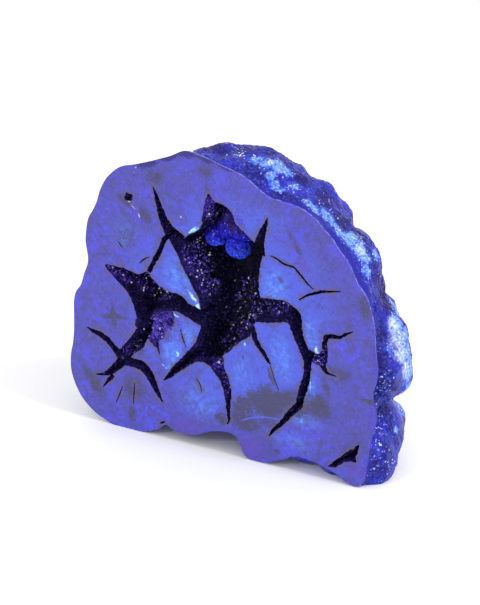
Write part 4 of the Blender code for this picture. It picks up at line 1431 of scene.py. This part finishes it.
@dataclass(frozen=True)
class DarkWall:
    """The walls of the hollows and cracks, under and between the crystals."""

    banks: tuple[Ball, ...]
    # near-black: painted shade of the deep hollows and cracks
    dark: Colour = (0.005, 0.004, 0.015)
    violet: Colour = (0.085, 0.042, 0.56)
    lilac: Colour = (0.085, 0.045, 0.56)
    slope: tuple[Ball, ...] = (
        (-16, 0.5, 21.9, 3.6), (-13.6, 0.3, 23, 3), (-5.3, 1.7, 46.6, 2.8),
    )

    def build(self) -> bpy.types.Material:
        """Mixes the finish: violet near the mouth where the light reaches, as painted light, near-black deeper
        in, as painted shade, and brightest on the broken slope.

        Returns:
            The material.
        """
        mix = Recipe("hollow_wall")
        here = mix.place()
        fine = here.noise(1.6, 5)
        bank = mix.balls(here, self.banks).span(0, 0.5, 0.22, 1)
        # painted light and shade: violet only on the lit banks near the mouth, fading to near-black with depth
        violet = fine.span(0.40, 0.60) * here.axis(1).span(7.5, 0.5) * bank
        slope = mix.balls(here, self.slope) * fine.span(0.38, 0.62)
        base = mix.coat(self.dark, (violet, self.violet), (slope, self.lilac))
        normal = mix.bump(here.noise(3.5, 5), 0.6, 0.15)
        return mix.finish(Base_Color=base, Roughness=0.5, Normal=normal, Specular_IOR_Level=0.15)


@dataclass(frozen=True)
class CrystalGlass:
    """Small dark crystals with bright facets. On the lit banks they are painted brighter, as painted light,
    and a few there are painted pale, as painted glints.
    """

    name: str
    dark: Colour
    bright: Colour
    banks: tuple[Ball, ...]
    # painted glints: the pale crystals, on the lit banks only
    pale: Colour = (0.85, 0.87, 0.98)
    glint_share: float = 0.11

    def build(self) -> bpy.types.Material:
        """Mixes the finish.

        Returns:
            The material.
        """
        mix = Recipe(self.name)
        shade = mix.attribute("shade")
        bank = mix.balls(mix.place(), self.banks)
        # painted light: crystals on the lit banks take the bright colour, with a random tone each; elsewhere
        # they stay dark, as in shade
        lit_and_random_tone = shade.span(0.15, 0.9) * bank.span(0, 0.6, 0.08, 1)
        pale = shade.math("LESS_THAN", bank * self.glint_share)
        base = mix.coat(self.dark, (lit_and_random_tone, self.bright), (pale, self.pale))
        shine = bank.span(0, 0.4, 0.12, 0.5)
        return mix.finish(Base_Color=base, Roughness=0.16, Specular_IOR_Level=shine)


@dataclass(frozen=True)
class Velvet:
    """The hanging lumps: saturated royal blue, darker and more violet towards their roots."""

    dark: Colour = (0.008, 0.004, 0.05)
    violet: Colour = (0.026, 0.010, 0.19)
    royal: Colour = (0.012, 0.008, 0.56)
    bright: Colour = (0.022, 0.085, 0.88)
    glint: Colour = (0.35, 0.45, 0.9)

    def build(self) -> bpy.types.Material:
        """Mixes the finish.

        Returns:
            The material.
        """
        mix = Recipe("velvet_azurite")
        here = mix.place()
        cloud = here.noise(1.4, 5, 0.5)
        low = here.axis(2) + cloud.span(0.3, 0.7, -1.6, 1.6)
        base = mix.coat(
            self.violet,
            (low.span(43, 41.2), self.royal),
            (low.span(40.6, 37.6, 0, 0.8), self.bright),
            (here.cells(4, 0).span(0.45, 1, 0, 0.6), self.violet),
            (cloud.span(0.51, 0.62, 0, 0.85), self.dark),
            (here.cells(5, 1).span(0.975, 0.99, 0, 0.6), self.glint),
        )
        normal = mix.bump(here.noise(5, 4), 0.7, 0.12)
        return mix.finish(Base_Color=base, Roughness=0.6, Normal=normal, Specular_IOR_Level=0.15)


@dataclass
class Studio:
    """A plain pale floor, soft light from all round, and the camera."""

    look_at: Point3 = (0.0037, -0.0144, 0.0303)
    azimuth: float = 29.0
    elevation: float = 24.0
    distance: float = 0.4
    lens: float = 137.3
    sky: float = 1.06
    floor_reach: float = 3.0

    def build(self) -> None:
        """Sets the stage."""
        self._floor()
        self._world()
        self._lamp("key", (0.30, -0.02, 0.42), 0.10, 0.9)
        self._lamp("glint", (-0.10, -0.42, 0.30), 0.05, 0.25)
        self._camera()
        bpy.context.scene.view_settings.view_transform = "Standard"

    def _floor(self) -> None:
        """A wide pale ground."""
        corners = np.array([[-1, -1, 0], [1, -1, 0], [1, 1, 0], [-1, 1, 0]], float)
        floor = make_object("floor", corners * self.floor_reach, [(0, 1, 2, 3)])
        floor.data.materials.append(Recipe("pale_floor").finish(Base_Color=(0.95, 0.95, 0.95), Roughness=0.9))

    def _world(self) -> None:
        """An even white sky."""
        world = bpy.data.worlds.new("sky")
        bpy.context.scene.world = world
        world.use_nodes = True
        background = world.node_tree.nodes["Background"]
        background.inputs["Color"].default_value = (1.0, 1.0, 1.0, 1.0)
        background.inputs["Strength"].default_value = self.sky

    def _stand(self, name: str, data: bpy.types.ID, at: Vector) -> bpy.types.Object:
        """Puts a lamp or the camera in the scene, facing the piece.

        Args:
            name: the object's name.
            data: the lamp or camera.
            at: where it stands.

        Returns:
            The object.
        """
        obj = bpy.data.objects.new(name, data)
        obj.location = at
        obj.rotation_euler = (Vector(self.look_at) - at).to_track_quat("-Z", "Y").to_euler()
        bpy.context.scene.collection.objects.link(obj)
        return obj

    def _lamp(self, name: str, at: Point3, size: float, power: float) -> None:
        """Adds a square soft light.

        Args:
            name: the lamp's name.
            at: where it stands.
            size: the length of its sides.
            power: its power in watts.
        """
        light = bpy.data.lights.new(name, "AREA")
        light.size = size
        light.energy = power
        self._stand(name, light, Vector(at))

    def _camera(self) -> None:
        """The camera, to the right of the piece and above it."""
        turn, lift = math.radians(self.azimuth), math.radians(self.elevation)
        away = Vector((math.sin(turn) * math.cos(lift), -math.cos(turn) * math.cos(lift), math.sin(lift)))
        data = bpy.data.cameras.new("camera")
        data.lens = self.lens
        data.clip_start = 0.01
        at = Vector(self.look_at) + away * self.distance
        bpy.context.scene.camera = self._stand("camera", data, at)


MAIN_HOLLOW = Hollow("main_hollow", MAIN_MOUTH, (-1.5, 32.0), (-1.0, -0.5), 15.0, 2.6)
SIDE_HOLLOW = Hollow("side_hollow", SIDE_MOUTH, (-17.6, 26.5), (-1.2, 0.3), 9.0, 2.2, around=180)
MAIN_CRYSTALS = Crystals("main_crystals", "main_hollow_druse", "dark_druse", 13000, (0.07, 0.32), 1)
SIDE_CRYSTALS = Crystals("side_crystals", "side_hollow_druse", "side_druse", 6500, (0.07, 0.28), 2)
# each crust: its dark colour, which also stands for the crystals in shade, and its painted lit colour for the
# banks
MAIN_GLASS = CrystalGlass("main_druse", (0.010, 0.007, 0.050), (0.21, 0.13, 1.0), MAIN_BANKS)
SIDE_GLASS = CrystalGlass("side_druse", (0.012, 0.008, 0.065), (0.23, 0.13, 1.0), SIDE_BANKS)


def main() -> None:
    """Builds and dresses each piece in turn, then the stage."""
    logging.basicConfig(level=logging.INFO, format="%(name)s: %(message)s")
    scoops = [Scoop(f"slope_{n}", ball) for n, ball in enumerate(BROKEN_SLOPE)]
    cracks = [Crack(name, line, depth) for name, (line, depth) in (CRACKS | HAIRLINES).items()]
    nodule = Nodule(Rind(), (MAIN_HOLLOW, SIDE_HOLLOW, *scoops, *cracks))
    nodule.build()
    wall = DarkWall(MAIN_BANKS + SIDE_BANKS)
    finishes = {Region.FACE: SawnStone(), Region.RIND: RindStone(), Region.WALL: wall}
    nodule.dress({region: finish.build() for region, finish in finishes.items()})
    log.info("nodule: %d polygons", len(nodule.obj.data.polygons))
    corners, normals, areas = nodule.walls()
    middle = corners.mean(1)
    weights = areas * rise(middle[:, 1], 0.15, 0.9)
    left = middle[:, 0] < SPLIT_X
    for crystals, glass, side in ((MAIN_CRYSTALS, MAIN_GLASS, ~left), (SIDE_CRYSTALS, SIDE_GLASS, left)):
        crystals.build(corners[side], normals[side], weights[side])
        crystals.dress(glass.build())
        log.info("%s: %d crystals", crystals.name, crystals.count)
    lumps = BlueLumps(LUMPS)
    lumps.build()
    lumps.dress(Velvet().build())
    log.info("blue lumps: %d balls", len(LUMPS))
    Studio().build()


if __name__ == "__main__":
    main()
